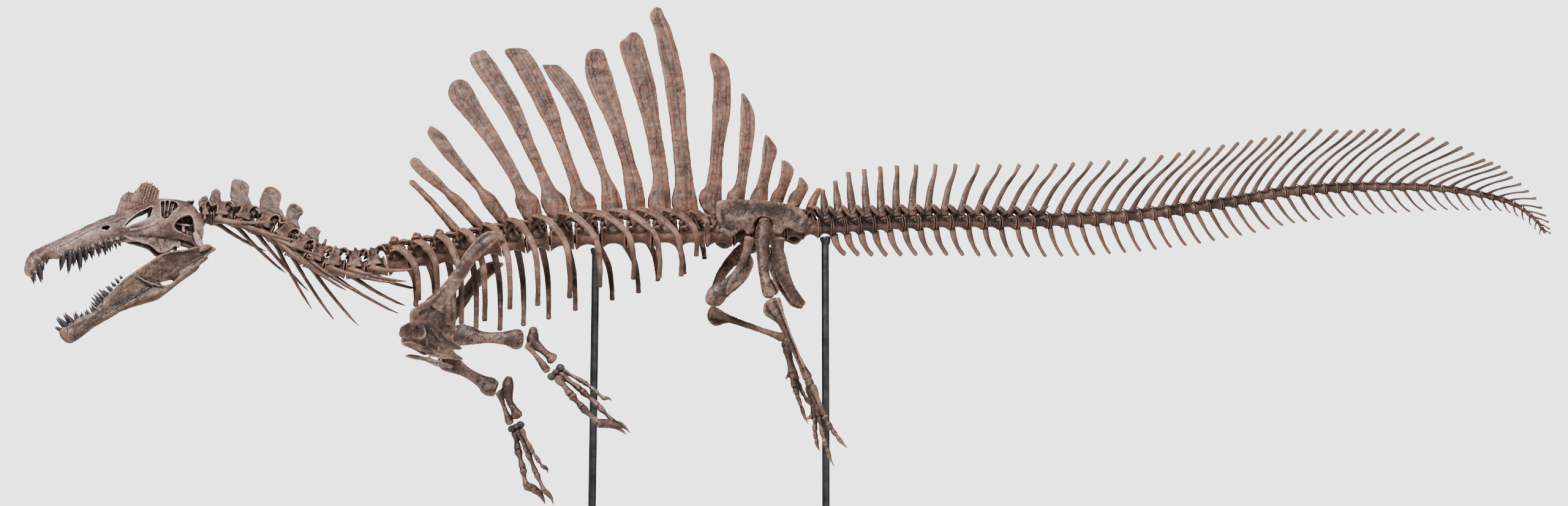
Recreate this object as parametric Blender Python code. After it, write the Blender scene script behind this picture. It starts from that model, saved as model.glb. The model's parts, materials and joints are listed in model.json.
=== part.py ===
"""A life-size mounted Spinosaurus skeleton, swimming, on a plain display stand.

Everything is in metres. The animal is laid out in its own frame, +X to the tail, +Y to its right
side and +Z up, with z = 0 on the backbone over the hips. The empty `pose` lifts that frame to its
height over the floor and banks it. The base of the stand is centred on the world's origin.
"""

import math

import bmesh
import bpy
from mathutils import Matrix, Vector

# ------------------------------------------------------------------ driving sizes
GAP = 0.0003                       # clearance between neighbouring solids
BACK_HEIGHT = 2.93                 # backbone over the floor, at the hips
BANK = math.radians(7.0)           # the animal rolls this much, right side down
LEFT, RIGHT = -1, 1
SIDES = ((LEFT, "left"), (RIGHT, "right"))
ACROSS = Vector((0, 1, 0))
FLAT = math.radians(4.0)           # faces closer to flat than this become one
SAME = 0.00002                     # corners closer than this become one

# The middle of the backbone, from the first neck joint to the tip of the tail.
BACKBONE = [
    (-4.70, -0.20, -0.02), (-4.49, -0.15, 0.00), (-4.32, -0.11, -0.03), (-4.10, -0.07, -0.11),
    (-3.87, -0.04, -0.27), (-3.64, -0.02, -0.385), (-3.46, -0.01, -0.405), (-3.27, 0, -0.405),
    (-2.99, 0, -0.345), (-2.50, 0, -0.25), (-2.07, 0, -0.16), (-1.63, 0, -0.10),
    (-0.91, 0, -0.05), (0.02, 0, -0.02), (0.82, 0, 0.07), (1.40, 0.01, 0.12),
    (2.00, 0.04, 0.165), (3.00, 0.14, 0.22), (3.96, 0.25, 0.33), (4.99, 0.30, 0.51),
    (5.56, 0.30, 0.625), (6.36, 0.27, 0.69), (7.14, 0.17, 0.66), (7.72, 0.08, 0.53),
    (7.96, 0.03, 0.36), (8.07, 0.00, 0.18),
]

NECK_COUNT, DORSAL_COUNT, SACRAL_COUNT, CAUDAL_COUNT = 10, 14, 5, 55
NECK_END, DORSAL_END, SACRAL_END = -3.09, 0.01, 0.81     # x where each run of vertebrae stops
ATLAS_LENGTH = 0.10
FIRST_DORSAL, LAST_DORSAL = 0.19, 0.245                  # lengths
# Length of the tail's vertebrae, by their number from the hips.
CAUDAL_LENGTHS = ((0, 0.118), (3, 0.130), (9, 0.157), (16, 0.157), (20, 0.146), (25, 0.135),
                  (45, 0.122), (54, 0.070))

# Neck spines, atlas first: (height over the middle of the vertebra, lean forward).
NECK_SPINES = ((0.18, 0.00), (0.29, 0.06), (0.39, 0.16), (0.38, 0.09), (0.34, 0.06), (0.28, 0.05),
               (0.23, 0.03), (0.20, 0.02), (0.20, 0.02), (0.19, 0.02))
# Half width of their tops, as a share of half the vertebra's length, by number.
SPINE_WIDTH = ((1, 0.40), (2, 0.72), (4, 0.70), (6, 0.50))

# The sail: (tip x, tip z, width of the blade under the tip), from the fourth dorsal backwards.
SAIL = (
    (-2.91, 0.46, 0.055), (-2.90, 0.62, 0.10), (-2.77, 0.94, 0.135), (-2.54, 1.39, 0.19),
    (-2.33, 1.70, 0.19), (-1.98, 1.76, 0.20), (-1.64, 1.61, 0.19), (-1.27, 1.79, 0.20),
    (-0.93, 1.96, 0.20), (-0.69, 2.21, 0.21), (-0.12, 1.79, 0.19), (0.17, 1.40, 0.15),
    (0.40, 1.01, 0.13), (0.54, 0.74, 0.12), (0.69, 0.58, 0.10),
)
FIRST_SAIL = 3                     # dorsals ahead of the sail
# Along the sail, by number: how far forward the foot of a spine lies, and how it bows aft.
FOOT_FORWARD = ((0, 0.02), (3, -0.01), (6, -0.04), (8, 0.02), (10, 0.06), (11, 0.04), (14, 0.02))
BOW = ((0, -0.04), (3, 0.02), (6, 0.05), (7, 0.02), (9, 0.04), (12, 0.06), (14, 0.08))

# Ribs, front to back: (sweep backwards, z of the tip) of the left and of the right one.
RIBS = (
    ((0.20, -0.72), (0.16, -0.70)), ((0.17, -0.68), (0.13, -0.72)), ((0.19, -0.95), (0.10, -0.93)),
    ((0.19, -0.93), (0.10, -0.88)), ((0.20, -0.83), (0.11, -0.87)), ((0.23, -0.80), (0.11, -0.82)),
    ((0.29, -0.73), (0.12, -0.75)), ((0.33, -0.63), (0.14, -0.66)), ((0.40, -0.55), (0.25, -0.56)),
    ((0.40, -0.53), (0.26, -0.49)), ((0.36, -0.50), (0.20, -0.38)), ((0.26, -0.30), (0.20, -0.32)),
    ((0.12, -0.17), (0.14, -0.18)),
)
CHEST_HALF_WIDTH = 0.52
SHELF_IN, SHELF_OUT = 0.045, 0.095                       # row of joints beside the neural arches,
SHELF_LOW, SHELF_TOP = 0.105, 0.155                      # out from the middle, and up
# A vertebra's body has six corners, or four towards the end of the tail, and is flat above and
# below. Per count of corners: the turn of the first, and what brings the flats out to the radius.
CORNERS = {6: (0.0, 1.0, 1.155), 4: (0.5, 1.2, 1.25)}


# ------------------------------------------------------------------ small tools
def between(keys, t):
    """The value at t on straight runs through (t, value) keys."""
    for (t0, v0), (t1, v1) in zip(keys, keys[1:]):
        if t <= t1:
            return v0 + (v1 - v0) * max(0.0, (t - t0) / (t1 - t0))
    return keys[-1][1]


def smooth(points, steps):
    """Points on a Catmull-Rom curve through the given ones, `steps` for each stretch."""
    points = [Vector(p) for p in points]
    ends = [2 * points[0] - points[1]] + points + [2 * points[-1] - points[-2]]
    curve = []
    for a, b, c, d in zip(ends, ends[1:], ends[2:], ends[3:]):
        for k in range(steps):
            t = k / steps
            curve.append(0.5 * (2 * b + (c - a) * t + (2 * a - 5 * b + 4 * c - d) * t ** 2
                                + (3 * b - a - 3 * c + d) * t ** 3))
    return curve + [points[-1]]


def tube_faces(rings, sides):
    """Faces of a closed tube whose points come ring by ring."""
    faces = [list(range(sides)), list(range((rings - 1) * sides, rings * sides))]
    for i in range(rings - 1):
        for k in range(sides):
            n = (k + 1) % sides
            faces.append([i * sides + k, i * sides + n, (i + 1) * sides + n, (i + 1) * sides + k])
    return faces


def loft(path, sizes, sides=6, across=ACROSS, start=0.5):
    """A closed tube along the path. sizes holds (half width along `across`, half depth)."""
    path = [Vector(p) for p in path]
    last = len(path) - 1
    verts = []
    for i, (point, (half_width, half_depth)) in enumerate(zip(path, sizes)):
        ahead = (path[min(i + 1, last)] - path[max(i - 1, 0)]).normalized()
        deep = ahead.cross(across).normalized()
        wide = deep.cross(ahead)
        for k in range(sides):
            angle = 2 * math.pi * (k + start) / sides
            verts.append(point + wide * half_width * math.cos(angle)
                         + deep * half_depth * math.sin(angle))
    return verts, tube_faces(last + 1, sides)


def plate(outline, place):
    """A plate with (u, v, half thickness) corners. place(u, v, w) gives each point."""
    count = len(outline)
    verts = [place(u, v, w * side) for side in (-1, 1) for u, v, w in outline]
    faces = [list(range(count)), list(range(count, 2 * count))]
    faces += [[k, (k + 1) % count, count + (k + 1) % count, count + k] for k in range(count)]
    return verts, faces


def mesh_from(shell):
    """A triangle mesh with its faces pointing out."""
    bm = bmesh.new()
    verts = [bm.verts.new(v) for v in shell[0]]
    for face in shell[1]:
        bm.faces.new([verts[k] for k in face])
    bmesh.ops.remove_doubles(bm, verts=bm.verts, dist=0.0001)
    bmesh.ops.triangulate(bm, faces=bm.faces)
    bmesh.ops.recalc_face_normals(bm, faces=bm.faces)
    mesh = bpy.data.meshes.new("shell")
    bm.to_mesh(mesh)
    bm.free()
    return mesh


def material(name, colour, roughness, metallic=0.0):
    made = bpy.data.materials.new(name)
    made.use_nodes = True
    shader = made.node_tree.nodes["Principled BSDF"]
    shader.inputs["Base Color"].default_value = (*colour, 1)
    shader.inputs["Roughness"].default_value = roughness
    shader.inputs["Metallic"].default_value = metallic
    return made


def join_flats(mesh):
    """Joins corners that coincide, then faces that lie in one plane, if the mesh stays closed."""
    bm = bmesh.new()
    bm.from_mesh(mesh)
    bmesh.ops.remove_doubles(bm, verts=bm.verts, dist=SAME)
    bm.to_mesh(mesh)
    bmesh.ops.dissolve_limit(bm, angle_limit=FLAT, verts=bm.verts, edges=bm.edges)
    bmesh.ops.triangulate(bm, faces=bm.faces)
    if all(len(edge.link_faces) == 2 for edge in bm.edges):
        bm.to_mesh(mesh)
    bm.free()


def weld(name, shells, finish, cuts=(), parent=None):
    """One object from overlapping closed shells, less the cuts."""
    whole = bpy.data.objects.new(name, mesh_from(shells[0]))
    bpy.context.scene.collection.objects.link(whole)
    for operation, solids in (("UNION", shells[1:]), ("DIFFERENCE", cuts)):
        if not solids:
            continue
        group = bpy.data.collections.new(name + operation)
        for solid in solids:
            helper = bpy.data.objects.new(name + "_helper", mesh_from(solid))
            group.objects.link(helper)
        modifier = whole.modifiers.new(operation, "BOOLEAN")
        modifier.operation = operation
        modifier.solver = "EXACT"
        modifier.operand_type = "COLLECTION"
        modifier.collection = group
        depsgraph = bpy.context.evaluated_depsgraph_get()
        mesh = bpy.data.meshes.new_from_object(whole.evaluated_get(depsgraph))
        whole.modifiers.clear()
        whole.data = mesh
        for helper in list(group.objects):
            bpy.data.objects.remove(helper)
        bpy.data.collections.remove(group)
    join_flats(whole.data)
    whole.data.name = name
    whole.data.materials.clear()
    whole.data.materials.append(finish)
    whole.parent = parent
    return whole


# ------------------------------------------------------------------ the backbone's course
class Course:
    """The backbone as a fine curve, read by the distance along it."""

    def __init__(self, points):
        self.points = smooth(points, 24)
        self.reach = [0.0]
        for a, b in zip(self.points, self.points[1:]):
            self.reach.append(self.reach[-1] + (b - a).length)

    def distance_at_x(self, x):
        for point, distance in zip(self.points, self.reach):
            if point.x >= x:
                return distance
        return self.reach[-1]

    def point(self, distance):
        distance = min(max(distance, 0.0), self.reach[-1])
        for k in range(1, len(self.reach)):
            if self.reach[k] >= distance:
                part = (distance - self.reach[k - 1]) / (self.reach[k] - self.reach[k - 1])
                return self.points[k - 1].lerp(self.points[k], part)
        return self.points[-1].copy()

    def frame(self, distance):
        """Middle, aft, right and up at that distance."""
        aft = (self.point(distance + 0.03) - self.point(distance - 0.03)).normalized()
        right = Vector((0, 0, 1)).cross(aft).normalized()
        return self.point(distance), aft, right, aft.cross(right)


course = Course(BACKBONE)


def run(start, end, keys, count):
    """Distances of the joints of `count` vertebrae, with lengths in the proportions of the keys."""
    lengths = [between(keys, k) for k in range(count)]
    scale = (end - start) / sum(lengths)
    joints = [start]
    for length in lengths:
        joints.append(joints[-1] + length * scale)
    return joints


neck_end = course.distance_at_x(NECK_END)
dorsal_end = course.distance_at_x(DORSAL_END)
sacral_end = course.distance_at_x(SACRAL_END)
EVEN = ((0, 1.0), (1, 1.0))
NECK = [0.0] + run(ATLAS_LENGTH, neck_end, EVEN, NECK_COUNT - 1)
DORSALS = run(neck_end, dorsal_end, ((0, FIRST_DORSAL), (13, LAST_DORSAL)), DORSAL_COUNT)
SACRALS = run(dorsal_end, sacral_end, EVEN, SACRAL_COUNT)
CAUDALS = run(sacral_end, course.reach[-1] - 0.002, CAUDAL_LENGTHS, CAUDAL_COUNT)


def local(distance):
    """A function that places (aft, up, right) offsets from the backbone there."""
    middle, aft, right, up = course.frame(distance)
    return lambda a, u, r: middle + aft * a + up * u + right * r


def centra(joints, radius, width, waist=0.80, place_of_waist=0.5, sides=6):
    """The drum-shaped bodies of a run of vertebrae, end to end, with ends square to the back.

    radius(x) is their half height and width scales it sideways. Each narrows to `waist` of that
    at `place_of_waist` of its length.
    """
    rings = [(joints[0] + GAP / 2, 1.0)]
    for a, b in zip(joints, joints[1:]):
        rings += [(a + (b - a) * place_of_waist, waist), (b, 1.0)]
    rings[-1] = (joints[-1] - GAP / 2, 1.0)
    turn, wide, tall = CORNERS[sides]
    verts = []
    for distance, share in rings:
        middle, _, right, up = course.frame(distance)
        size = radius(middle.x) * share
        for k in range(sides):
            angle = 2 * math.pi * (k + turn) / sides
            verts.append(middle + right * size * width * wide * math.cos(angle)
                         + up * size * tall * math.sin(angle))
    return verts, tube_faces(len(rings), sides)


def body_radius(x):
    """Half height of the vertebra's body at x."""
    return between(((-4.7, 0.070), (-4.0, 0.085), (-3.2, 0.094), (-0.5, 0.098), (0.8, 0.092),
                    (1.4, 0.078), (2.4, 0.064), (3.5, 0.056), (4.3, 0.050), (6.1, 0.045),
                    (6.9, 0.038), (7.6, 0.032), (8.07, 0.016)), x)


# ------------------------------------------------------------------ neck
# Reach of a neck rib from its root, and how it drops on each side, by number.
RIB_BACK, RIB_OUT = 0.56, 0.13
RIB_DOWN = {LEFT: ((1, 0.02), (4, 0.04), (9, 0.16)), RIGHT: ((1, 0.26), (4, 0.22), (9, 0.27))}
FIRST_WINGED = 5                   # cross processes stand out from this vertebra on


def neck_vertebra(index):
    """Arch with its spine, and a pair of thin ribs that run back under the neck."""
    front, rear = NECK[index], NECK[index + 1]
    half = (rear - front) / 2
    place = local((front + rear) / 2)
    top, lean = NECK_SPINES[index]
    wide = between(SPINE_WIDTH, index) * half
    low = 0.06 + 0.33 * top
    outline = [(-0.40 * half, 0.03, 0.050), (0.40 * half, 0.03, 0.050),
               (0.97 * half, low - 0.02, 0.055), (0.60 * half, low + 0.01, 0.035),
               (wide - lean, top - 0.015, 0.014), (-wide - lean, top, 0.014),
               (-0.65 * half, low + 0.01, 0.035), (-0.97 * half, low - 0.01, 0.055)]
    if index < 2:
        outline = [(a, u * 0.92, w * 0.8) for a, u, w in outline]

    def bent(a, u, w):
        """Follows the bend of the neck towards the ends, so that neighbours don't meet."""
        if 0.6 * half < abs(a) < half:
            return local((front + rear) / 2 + a)(0, u, w)
        return place(a, u, w)

    shells = [plate(outline, bent)]
    if index == 0:
        return shells
    bar = between(((0, 0.09), (3, 0.13), (9, 0.17)), index)
    reach = between(((1, 0.70), (3, 1.0), (7, 1.0), (9, 0.55)), index)
    for side in (LEFT, RIGHT):
        knee = place(0.1 * half, -0.05, side * bar)
        drop = between(RIB_DOWN[side], index)
        tip = knee + (place(RIB_BACK, -drop, side * RIB_OUT) - place(0, 0, 0)) * reach
        path, sizes = [knee, tip], [(0.016, 0.024), (0.004, 0.006)]
        if index < FIRST_WINGED:
            path[0] = place(-0.4 * half, -0.02, side * 0.78 * body_radius(place(0, 0, 0).x))
        else:
            path.insert(0, place(-0.1 * half, 0.08, side * 0.02))
            sizes.insert(0, (0.035, 0.030))
        shells.append(loft(path, sizes, 3))
    return shells


# ------------------------------------------------------------------ trunk, sail and ribs
BULGE_UP, BULGE_HALF, WAIST_HALF = 0.28, 0.098, 0.058    # swollen foot and waist of a spine


def sail_spine(number, distance, length):
    """A tall spine: arch, swollen foot, narrow waist, then a thin blade that widens upwards."""
    tip_x, tip_z, width = SAIL[number]
    place = local(distance)
    middle = place(0, 0, 0)
    tip = Vector((tip_x, middle.y, tip_z))
    size = min(1.0, max(0.62, (tip - middle).length / 1.5), length / 0.25)
    bulge = place(-between(FOOT_FORWARD, number), BULGE_UP * size, 0)
    rise = tip - bulge
    aft = Vector((rise.z, 0, -rise.x))
    waist = bulge + rise.normalized() * 0.18 * size
    blade = width / 2
    path = [place(0.01, 0.02, 0), bulge, waist, bulge + rise * 0.6 + aft * between(BOW, number),
            bulge + rise * 0.88 + aft.normalized() * blade * 0.3, tip]
    sizes = [(0.042, length * 0.32), (0.034, BULGE_HALF * size), (0.027, WAIST_HALF * size),
             (0.020, max(blade * 0.8, WAIST_HALF * size * 0.8)), (0.016, blade), (0.008, blade * 0.6)]
    return loft(path, sizes, 4, start=0)


def low_spine(distance):
    """The short spine of a front trunk vertebra."""
    place = local(distance)
    return loft([place(0, 0.02, 0), place(0, 0.12, 0), place(0.02, 0.18, 0)],
                [(0.040, 0.08), (0.038, 0.06), (0.014, 0.04)], 4, start=0)


def trunk_length(joints, first):
    """Bodies and spines of one length of the backbone."""
    shells = [centra(joints, body_radius, 1.15)]
    for k, (front, rear) in enumerate(zip(joints, joints[1:])):
        distance, number = (front + rear) / 2, first + k - FIRST_SAIL
        if 0 <= number < len(SAIL):
            shells.append(sail_spine(number, distance, rear - front))
        else:
            shells.append(low_spine(distance))
    return shells


def grow(shell, base, rings):
    """Draws a four-sided rod out of the face with the `base` corners, ring by ring."""
    verts, faces = shell
    faces.remove(base)
    for ring in rings:
        new = list(range(len(verts), len(verts) + 4))
        verts.extend(ring)
        faces += [[base[k], base[(k + 1) % 4], new[(k + 1) % 4], new[k]] for k in range(4)]
        base = new
    faces.append(base)


def rib_rings(index, side):
    """One rib: out along the cross process of its vertebra, then round and down to its free end."""
    place = local((DORSALS[index] + DORSALS[index + 1]) / 2)
    middle = place(0, 0, 0)
    sweep, tip_z = RIBS[index][side == RIGHT]
    widest = CHEST_HALF_WIDTH * between(((0, 0.40), (2, 0.64), (4, 0.86), (7, 1.0), (9, 0.93),
                                         (12, 0.62)), index)
    shoulder = min(0.26, widest * 0.62)
    top = between(((0, 0.12), (4, 0.15), (8, 0.18)), index)
    drop = tip_z - middle.z - top
    path = [place(0, 0.14, side * 0.07), place(0, top, side * shoulder)]
    for share, out in ((0.12, 0.84), (0.42, 1.02), (1.0, 0.74)):
        back = sweep * (1 - (1 - share) ** 3.5)
        path.append(middle + Vector((back, side * widest * out, top + drop * share)))
    sizes = [(0.036, 0.022), (0.030, 0.016), (0.028, 0.014), (0.022, 0.010)]
    rings = []
    for k, (half_width, half_depth) in enumerate(sizes, 1):
        along = (path[min(k + 1, 4)] - path[k - 1]).normalized()
        wide = (Vector((1, 0, 0)) - along * along.x).normalized()
        outer = wide.cross(along).normalized() * side
        rings.append([path[k] + wide * a * half_width + outer * b * half_depth
                      for a, b in ((-1, -1), (-1, 1), (1, 1), (1, -1))])
    return rings


def rib_group(first, last, side):
    """Ribs first to last, counted from 0, and the row of joints beside the arches they grow from."""
    joints = DORSALS[first:last + 2]
    verts = []
    for distance in [joints[0] + GAP / 2] + joints[1:-1] + [joints[-1] - GAP / 2]:
        place = local(distance)
        for u, r in ((SHELF_LOW, SHELF_IN), (SHELF_LOW, SHELF_OUT),
                     (SHELF_TOP, SHELF_OUT), (SHELF_TOP, SHELF_IN)):
            verts.append(place(0, u, side * r))
    shell = verts, tube_faces(len(joints), 4)
    for k in range(last + 1 - first):
        front, rear = 4 * k, 4 * k + 4
        grow(shell, [front + 1, front + 2, rear + 2, rear + 1], rib_rings(first + k, side))
    return [shell]


# ------------------------------------------------------------------ tail
WAIST_PLACE, TAIL_WAIST = 0.36, 0.84               # of each tail vertebra's length and radius
LAST_TALL, LAST_CURVED, LAST_ROUND = 50, 16, 27    # short spines, straight chevrons and square
                                                   # bodies from these vertebrae on


def rod_ring(place, aft, up, half_length, half_thick, flip):
    """Four corners round a point of a spine or chevron, in the order of the face it grows from."""
    corners = ((-1, 1), (-1, -1), (1, -1), (1, 1)) if flip else ((-1, -1), (-1, 1), (1, 1), (1, -1))
    return [place(aft + a * half_length, up, r * half_thick) for a, r in corners]


# Tip of the spine, by the vertebra's number: how far aft of its root, and how high.
SPINE_AFT = ((0, 0.00), (2, 0.00), (5, 0.06), (8, 0.17), (10, 0.29), (16, 0.48), (20, 0.63),
             (24, 0.69), (30, 0.76), (36, 0.71), (40, 0.68), (42, 0.62), (44, 0.49), (46, 0.34),
             (50, 0.19), (54, 0.05))
SPINE_HEIGHT = ((0, 0.37), (2, 0.53), (4, 0.57), (28, 0.60), (30, 0.56), (36, 0.59), (38, 0.51),
                (40, 0.43), (42, 0.33), (44, 0.31), (46, 0.25), (48, 0.17), (50, 0.12), (54, 0.04))
CHEVRON_DROP = ((0, 0.26), (4, 0.30), (14, 0.34), (24, 0.35), (32, 0.31), (40, 0.25), (45, 0.18),
                (48, 0.11), (54, 0.05))
CHEVRON_AFT = ((0, 0.08), (20, 0.08), (28, 0.12), (42, 0.17), (46, 0.12), (50, 0.07), (54, 0.03))


def caudal_rings(number, place, root):
    """Blade-like and upright on the first tail vertebrae, then a slender leaning rod."""
    aft, height = between(SPINE_AFT, number), between(SPINE_HEIGHT, number)
    blade = between(((0, 0.045), (6, 0.038), (12, 0.024), (54, 0.017)), number)
    foot = root + between(((0, 0.06), (54, 0.015)), number)
    rings = [rod_ring(place, 0.03 * aft, foot, blade * 1.2, 0.014, True)]
    if number < LAST_TALL:
        rings.append(rod_ring(place, aft, height, 0.018, 0.009, True))
    return rings


def chevron_rings(number, place, root):
    """The curved bone that hangs under the joint of two tail vertebrae."""
    drop, aft = between(CHEVRON_DROP, number), between(CHEVRON_AFT, number)
    rings = [rod_ring(place, aft, -drop, 0.012, 0.006, False)]
    if number < LAST_CURVED:
        middle = -root - (drop - root) * 0.45
        rings.insert(0, rod_ring(place, aft * 0.35, middle, 0.02, 0.011, False))
    return rings


def tail_length(first, last):
    """Tail vertebrae first to last, counted from 0, each drawn out into its spine and chevron."""
    joints = CAUDALS[first:last + 2]
    sides = 6 if first < LAST_ROUND else 4
    shell = centra(joints, body_radius, 1.0, TAIL_WAIST, WAIST_PLACE, sides)
    for k in range(first, last + 1):
        corner = 2 * (k - first) * sides + sides // 2 - 2
        length = CAUDALS[k + 1] - CAUDALS[k]
        front = local(CAUDALS[k] + WAIST_PLACE / 2 * length)
        rear = local(CAUDALS[k] + (1 + WAIST_PLACE) / 2 * length)
        root = body_radius(front(0, 0, 0).x)
        top = [corner + sides, corner + sides + 1, corner + 2 * sides + 1, corner + 2 * sides]
        grow(shell, top, caudal_rings(k, rear, root))
        if k > 0:
            corner += sides // 2
            under = [corner, corner + 1, corner + sides + 1, corner + sides]
            grow(shell, under, chevron_rings(k, front, root))
    return shell


# ------------------------------------------------------------------ head
HEAD_AT = Vector((-4.71, -0.205, 0))               # middle of the back of the skull, z = 0
HEAD_TURN = math.radians(20)                       # towards the animal's left


def head(u, v, w):
    """A point u ahead of the back of the skull, at height v and w to the right."""
    ahead = Vector((-math.cos(HEAD_TURN), -math.sin(HEAD_TURN), 0))
    right = Vector((-math.sin(HEAD_TURN), math.cos(HEAD_TURN), 0))
    return HEAD_AT + ahead * u + right * w + Vector((0, 0, v))


# (ahead, top, bottom, half width) from the back of the skull to the tip of the snout.
SKULL_SECTIONS = (
    (0.01, 0.06, -0.25, 0.14), (0.08, 0.13, -0.28, 0.185), (0.24, 0.14, -0.25, 0.18),
    (0.38, 0.11, -0.25, 0.165), (0.50, 0.04, -0.26, 0.135), (0.66, -0.05, -0.32, 0.100),
    (0.80, -0.12, -0.39, 0.080), (0.95, -0.22, -0.47, 0.070), (1.08, -0.315, -0.53, 0.062),
    (1.17, -0.375, -0.52, 0.048), (1.26, -0.435, -0.60, 0.066), (1.33, -0.48, -0.68, 0.074),
    (1.37, -0.56, -0.66, 0.050),
)
CREST = ((0.68, -0.10), (0.66, 0.03), (0.65, 0.12), (0.61, 0.15), (0.55, 0.16), (0.52, 0.22),
         (0.47, 0.25), (0.40, 0.24), (0.37, 0.20), (0.35, 0.13), (0.34, 0.05))
PALATE = ((0.62, -0.22), (0.60, -0.28), (0.34, -0.36), (0.18, -0.23), (0.16, -0.15))
NOSTRIL = ((0.83, -0.215), (0.79, -0.19), (0.76, -0.20), (0.77, -0.23), (0.80, -0.24))
SNOUT_WINDOW = ((0.63, -0.20), (0.56, -0.10), (0.49, -0.03), (0.43, 0.00), (0.45, -0.10),
                (0.55, -0.16))
EYE_SOCKET = ((0.37, 0.05), (0.33, 0.085), (0.26, 0.085), (0.215, 0.04), (0.25, -0.05),
              (0.30, -0.10), (0.35, -0.05))
CHEEK_WINDOW = ((0.24, -0.10), (0.19, -0.055), (0.10, -0.065), (0.06, -0.15), (0.07, -0.22),
                (0.16, -0.20), (0.23, -0.15))
UPPER_TEETH = ((1.33, 0.09), (1.29, 0.10), (1.25, 0.06), (1.10, 0.09), (1.04, 0.11), (0.98, 0.12),
               (0.92, 0.08), (0.87, 0.075), (0.81, 0.07), (0.76, 0.065), (0.71, 0.05), (0.67, 0.04))


def section(u, top, bottom, half):
    """A rounded eight-cornered section of the skull."""
    middle, tall = (top + bottom) / 2, (top - bottom) / 2
    corners = ((0.45, 1.0), (0.95, 0.55), (1.0, -0.5), (0.75, -1.0))
    ring = [(half * w, middle + tall * v) for w, v in corners]
    ring += [(-w, v) for w, v in reversed(ring)]
    return [head(u, v, w) for w, v in ring]


def tooth(base, tip, radius):
    """A conical tooth."""
    ahead = (tip - base).normalized()
    aside = ahead.orthogonal().normalized()
    ring = [base + (aside * math.cos(a) + ahead.cross(aside) * math.sin(a)) * radius
            for a in (0, 2.094, 4.189)]
    return ring + [tip], [[0, 1, 2], [0, 1, 3], [1, 2, 3], [2, 0, 3]]


def skull():
    verts = [v for keys in SKULL_SECTIONS for v in section(*keys)]
    shells = [(verts, tube_faces(len(SKULL_SECTIONS), 8))]
    shells.append(plate([(u, v, 0.028 if v < 0.05 else 0.010) for u, v in CREST], head))
    shells.append(plate([(u, v, 0.06) for u, v in PALATE], head))
    bottoms = [(u, bottom) for u, top, bottom, half in SKULL_SECTIONS]
    halves = [(u, half) for u, top, bottom, half in SKULL_SECTIONS]
    for u, length in UPPER_TEETH:
        for side in (LEFT, RIGHT):
            low, out = between(bottoms, u), between(halves, u) * 0.72
            shells.append(tooth(head(u, low + 0.02, side * out),
                                head(u - 0.01, low - length, side * (out + 0.005)), 0.016))
    cuts = [plate([(u, v, 0.4) for u, v in shape], head) for shape in (NOSTRIL, SNOUT_WINDOW)]
    for shape, deep in ((EYE_SOCKET, 0.15), (CHEEK_WINDOW, 0.14)):
        for side in (LEFT, RIGHT):
            cuts.append(plate([(u, v, deep) for u, v in shape],
                              lambda u, v, w, side=side: head(u, v, w + side * 0.22)))
    return shells, cuts


# Lower jaw, back to front: (ahead, height, half depth, distance from the middle, half thickness).
JAW_SECTIONS = (
    (-0.13, -0.325, 0.015, 0.155, 0.016), (-0.04, -0.365, 0.060, 0.160, 0.028),
    (0.13, -0.465, 0.125, 0.158, 0.024), (0.305, -0.570, 0.175, 0.145, 0.022),
    (0.465, -0.680, 0.138, 0.112, 0.024), (0.635, -0.822, 0.098, 0.068, 0.028),
    (0.80, -0.995, 0.066, 0.026, 0.036), (0.97, -1.145, 0.082, 0.024, 0.042),
    (1.08, -1.145, 0.040, 0.018, 0.026),
)
JAW_WINDOW = ((0.30, -0.60), (0.20, -0.58), (0.19, -0.655), (0.27, -0.685))
LOWER_TEETH = ((1.06, 0.06), (1.01, 0.08), (0.95, 0.09), (0.89, 0.07), (0.84, 0.07), (0.79, 0.075),
               (0.74, 0.08), (0.69, 0.07), (0.65, 0.065), (0.61, 0.055))


def jaw():
    shells = []
    for side in (LEFT, RIGHT):
        path = [head(u, v, side * out) for u, v, deep, out, thick in JAW_SECTIONS]
        sizes = [(thick, deep) for u, v, deep, out, thick in JAW_SECTIONS]
        right = head(0, 0, 1) - head(0, 0, 0)
        shells.append(loft(path, sizes, 6, across=right))
        for u, length in LOWER_TEETH:
            v = between([(-1, 0)] + [(a, b) for a, b, *rest in JAW_SECTIONS], u)
            deep = between([(a, d) for a, b, d, *rest in JAW_SECTIONS], u)
            out = between([(a, o) for a, b, d, o, t in JAW_SECTIONS], u)
            slope = Vector((0.62, 0.78)) * deep
            base = head(u + slope.x * 0.8, v + slope.y * 0.8, side * out)
            tip = head(u + slope.x + length * 0.35, v + slope.y + length * 0.9,
                       side * (out + 0.01))
            shells.append(tooth(base, tip, 0.014))
    cuts = [plate([(u, v, 0.4) for u, v in JAW_WINDOW], head)]
    return shells, cuts


# ------------------------------------------------------------------ hips and legs
ILIUM_OUT = 0.20
SOCKET_AT, SOCKET_RADIUS = (0.28, 0.01), 0.088     # hip socket, a notch under the ilium
ILIUM_EDGE = ((0.44, -0.06), (0.50, 0.00), (0.59, -0.05), (0.66, -0.04), (0.71, 0.06), (0.63, 0.18),
              (0.48, 0.235), (0.29, 0.26), (0.04, 0.26), (-0.12, 0.25), (-0.155, 0.20),
              (-0.13, 0.02), (-0.04, -0.08), (0.04, -0.05), (0.09, 0.00), (0.13, -0.07))


def ilium(side):
    """The hip blade, with the round notch that the thigh bone turns in."""
    notch = []
    for k in range(6):
        angle = math.radians(205 - 230 * k / 5)
        notch.append((SOCKET_AT[0] + SOCKET_RADIUS * math.cos(angle),
                      SOCKET_AT[1] + SOCKET_RADIUS * math.sin(angle)))
    outline = [(x, z, 0.030) for x, z in notch]
    outline += [(x, z, 0.022 if z > 0.1 else 0.030) for x, z in ILIUM_EDGE]
    return plate(outline, lambda x, z, w: Vector((x, side * (ILIUM_OUT + 0.12 * max(0, z)) + w, z)))


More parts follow.
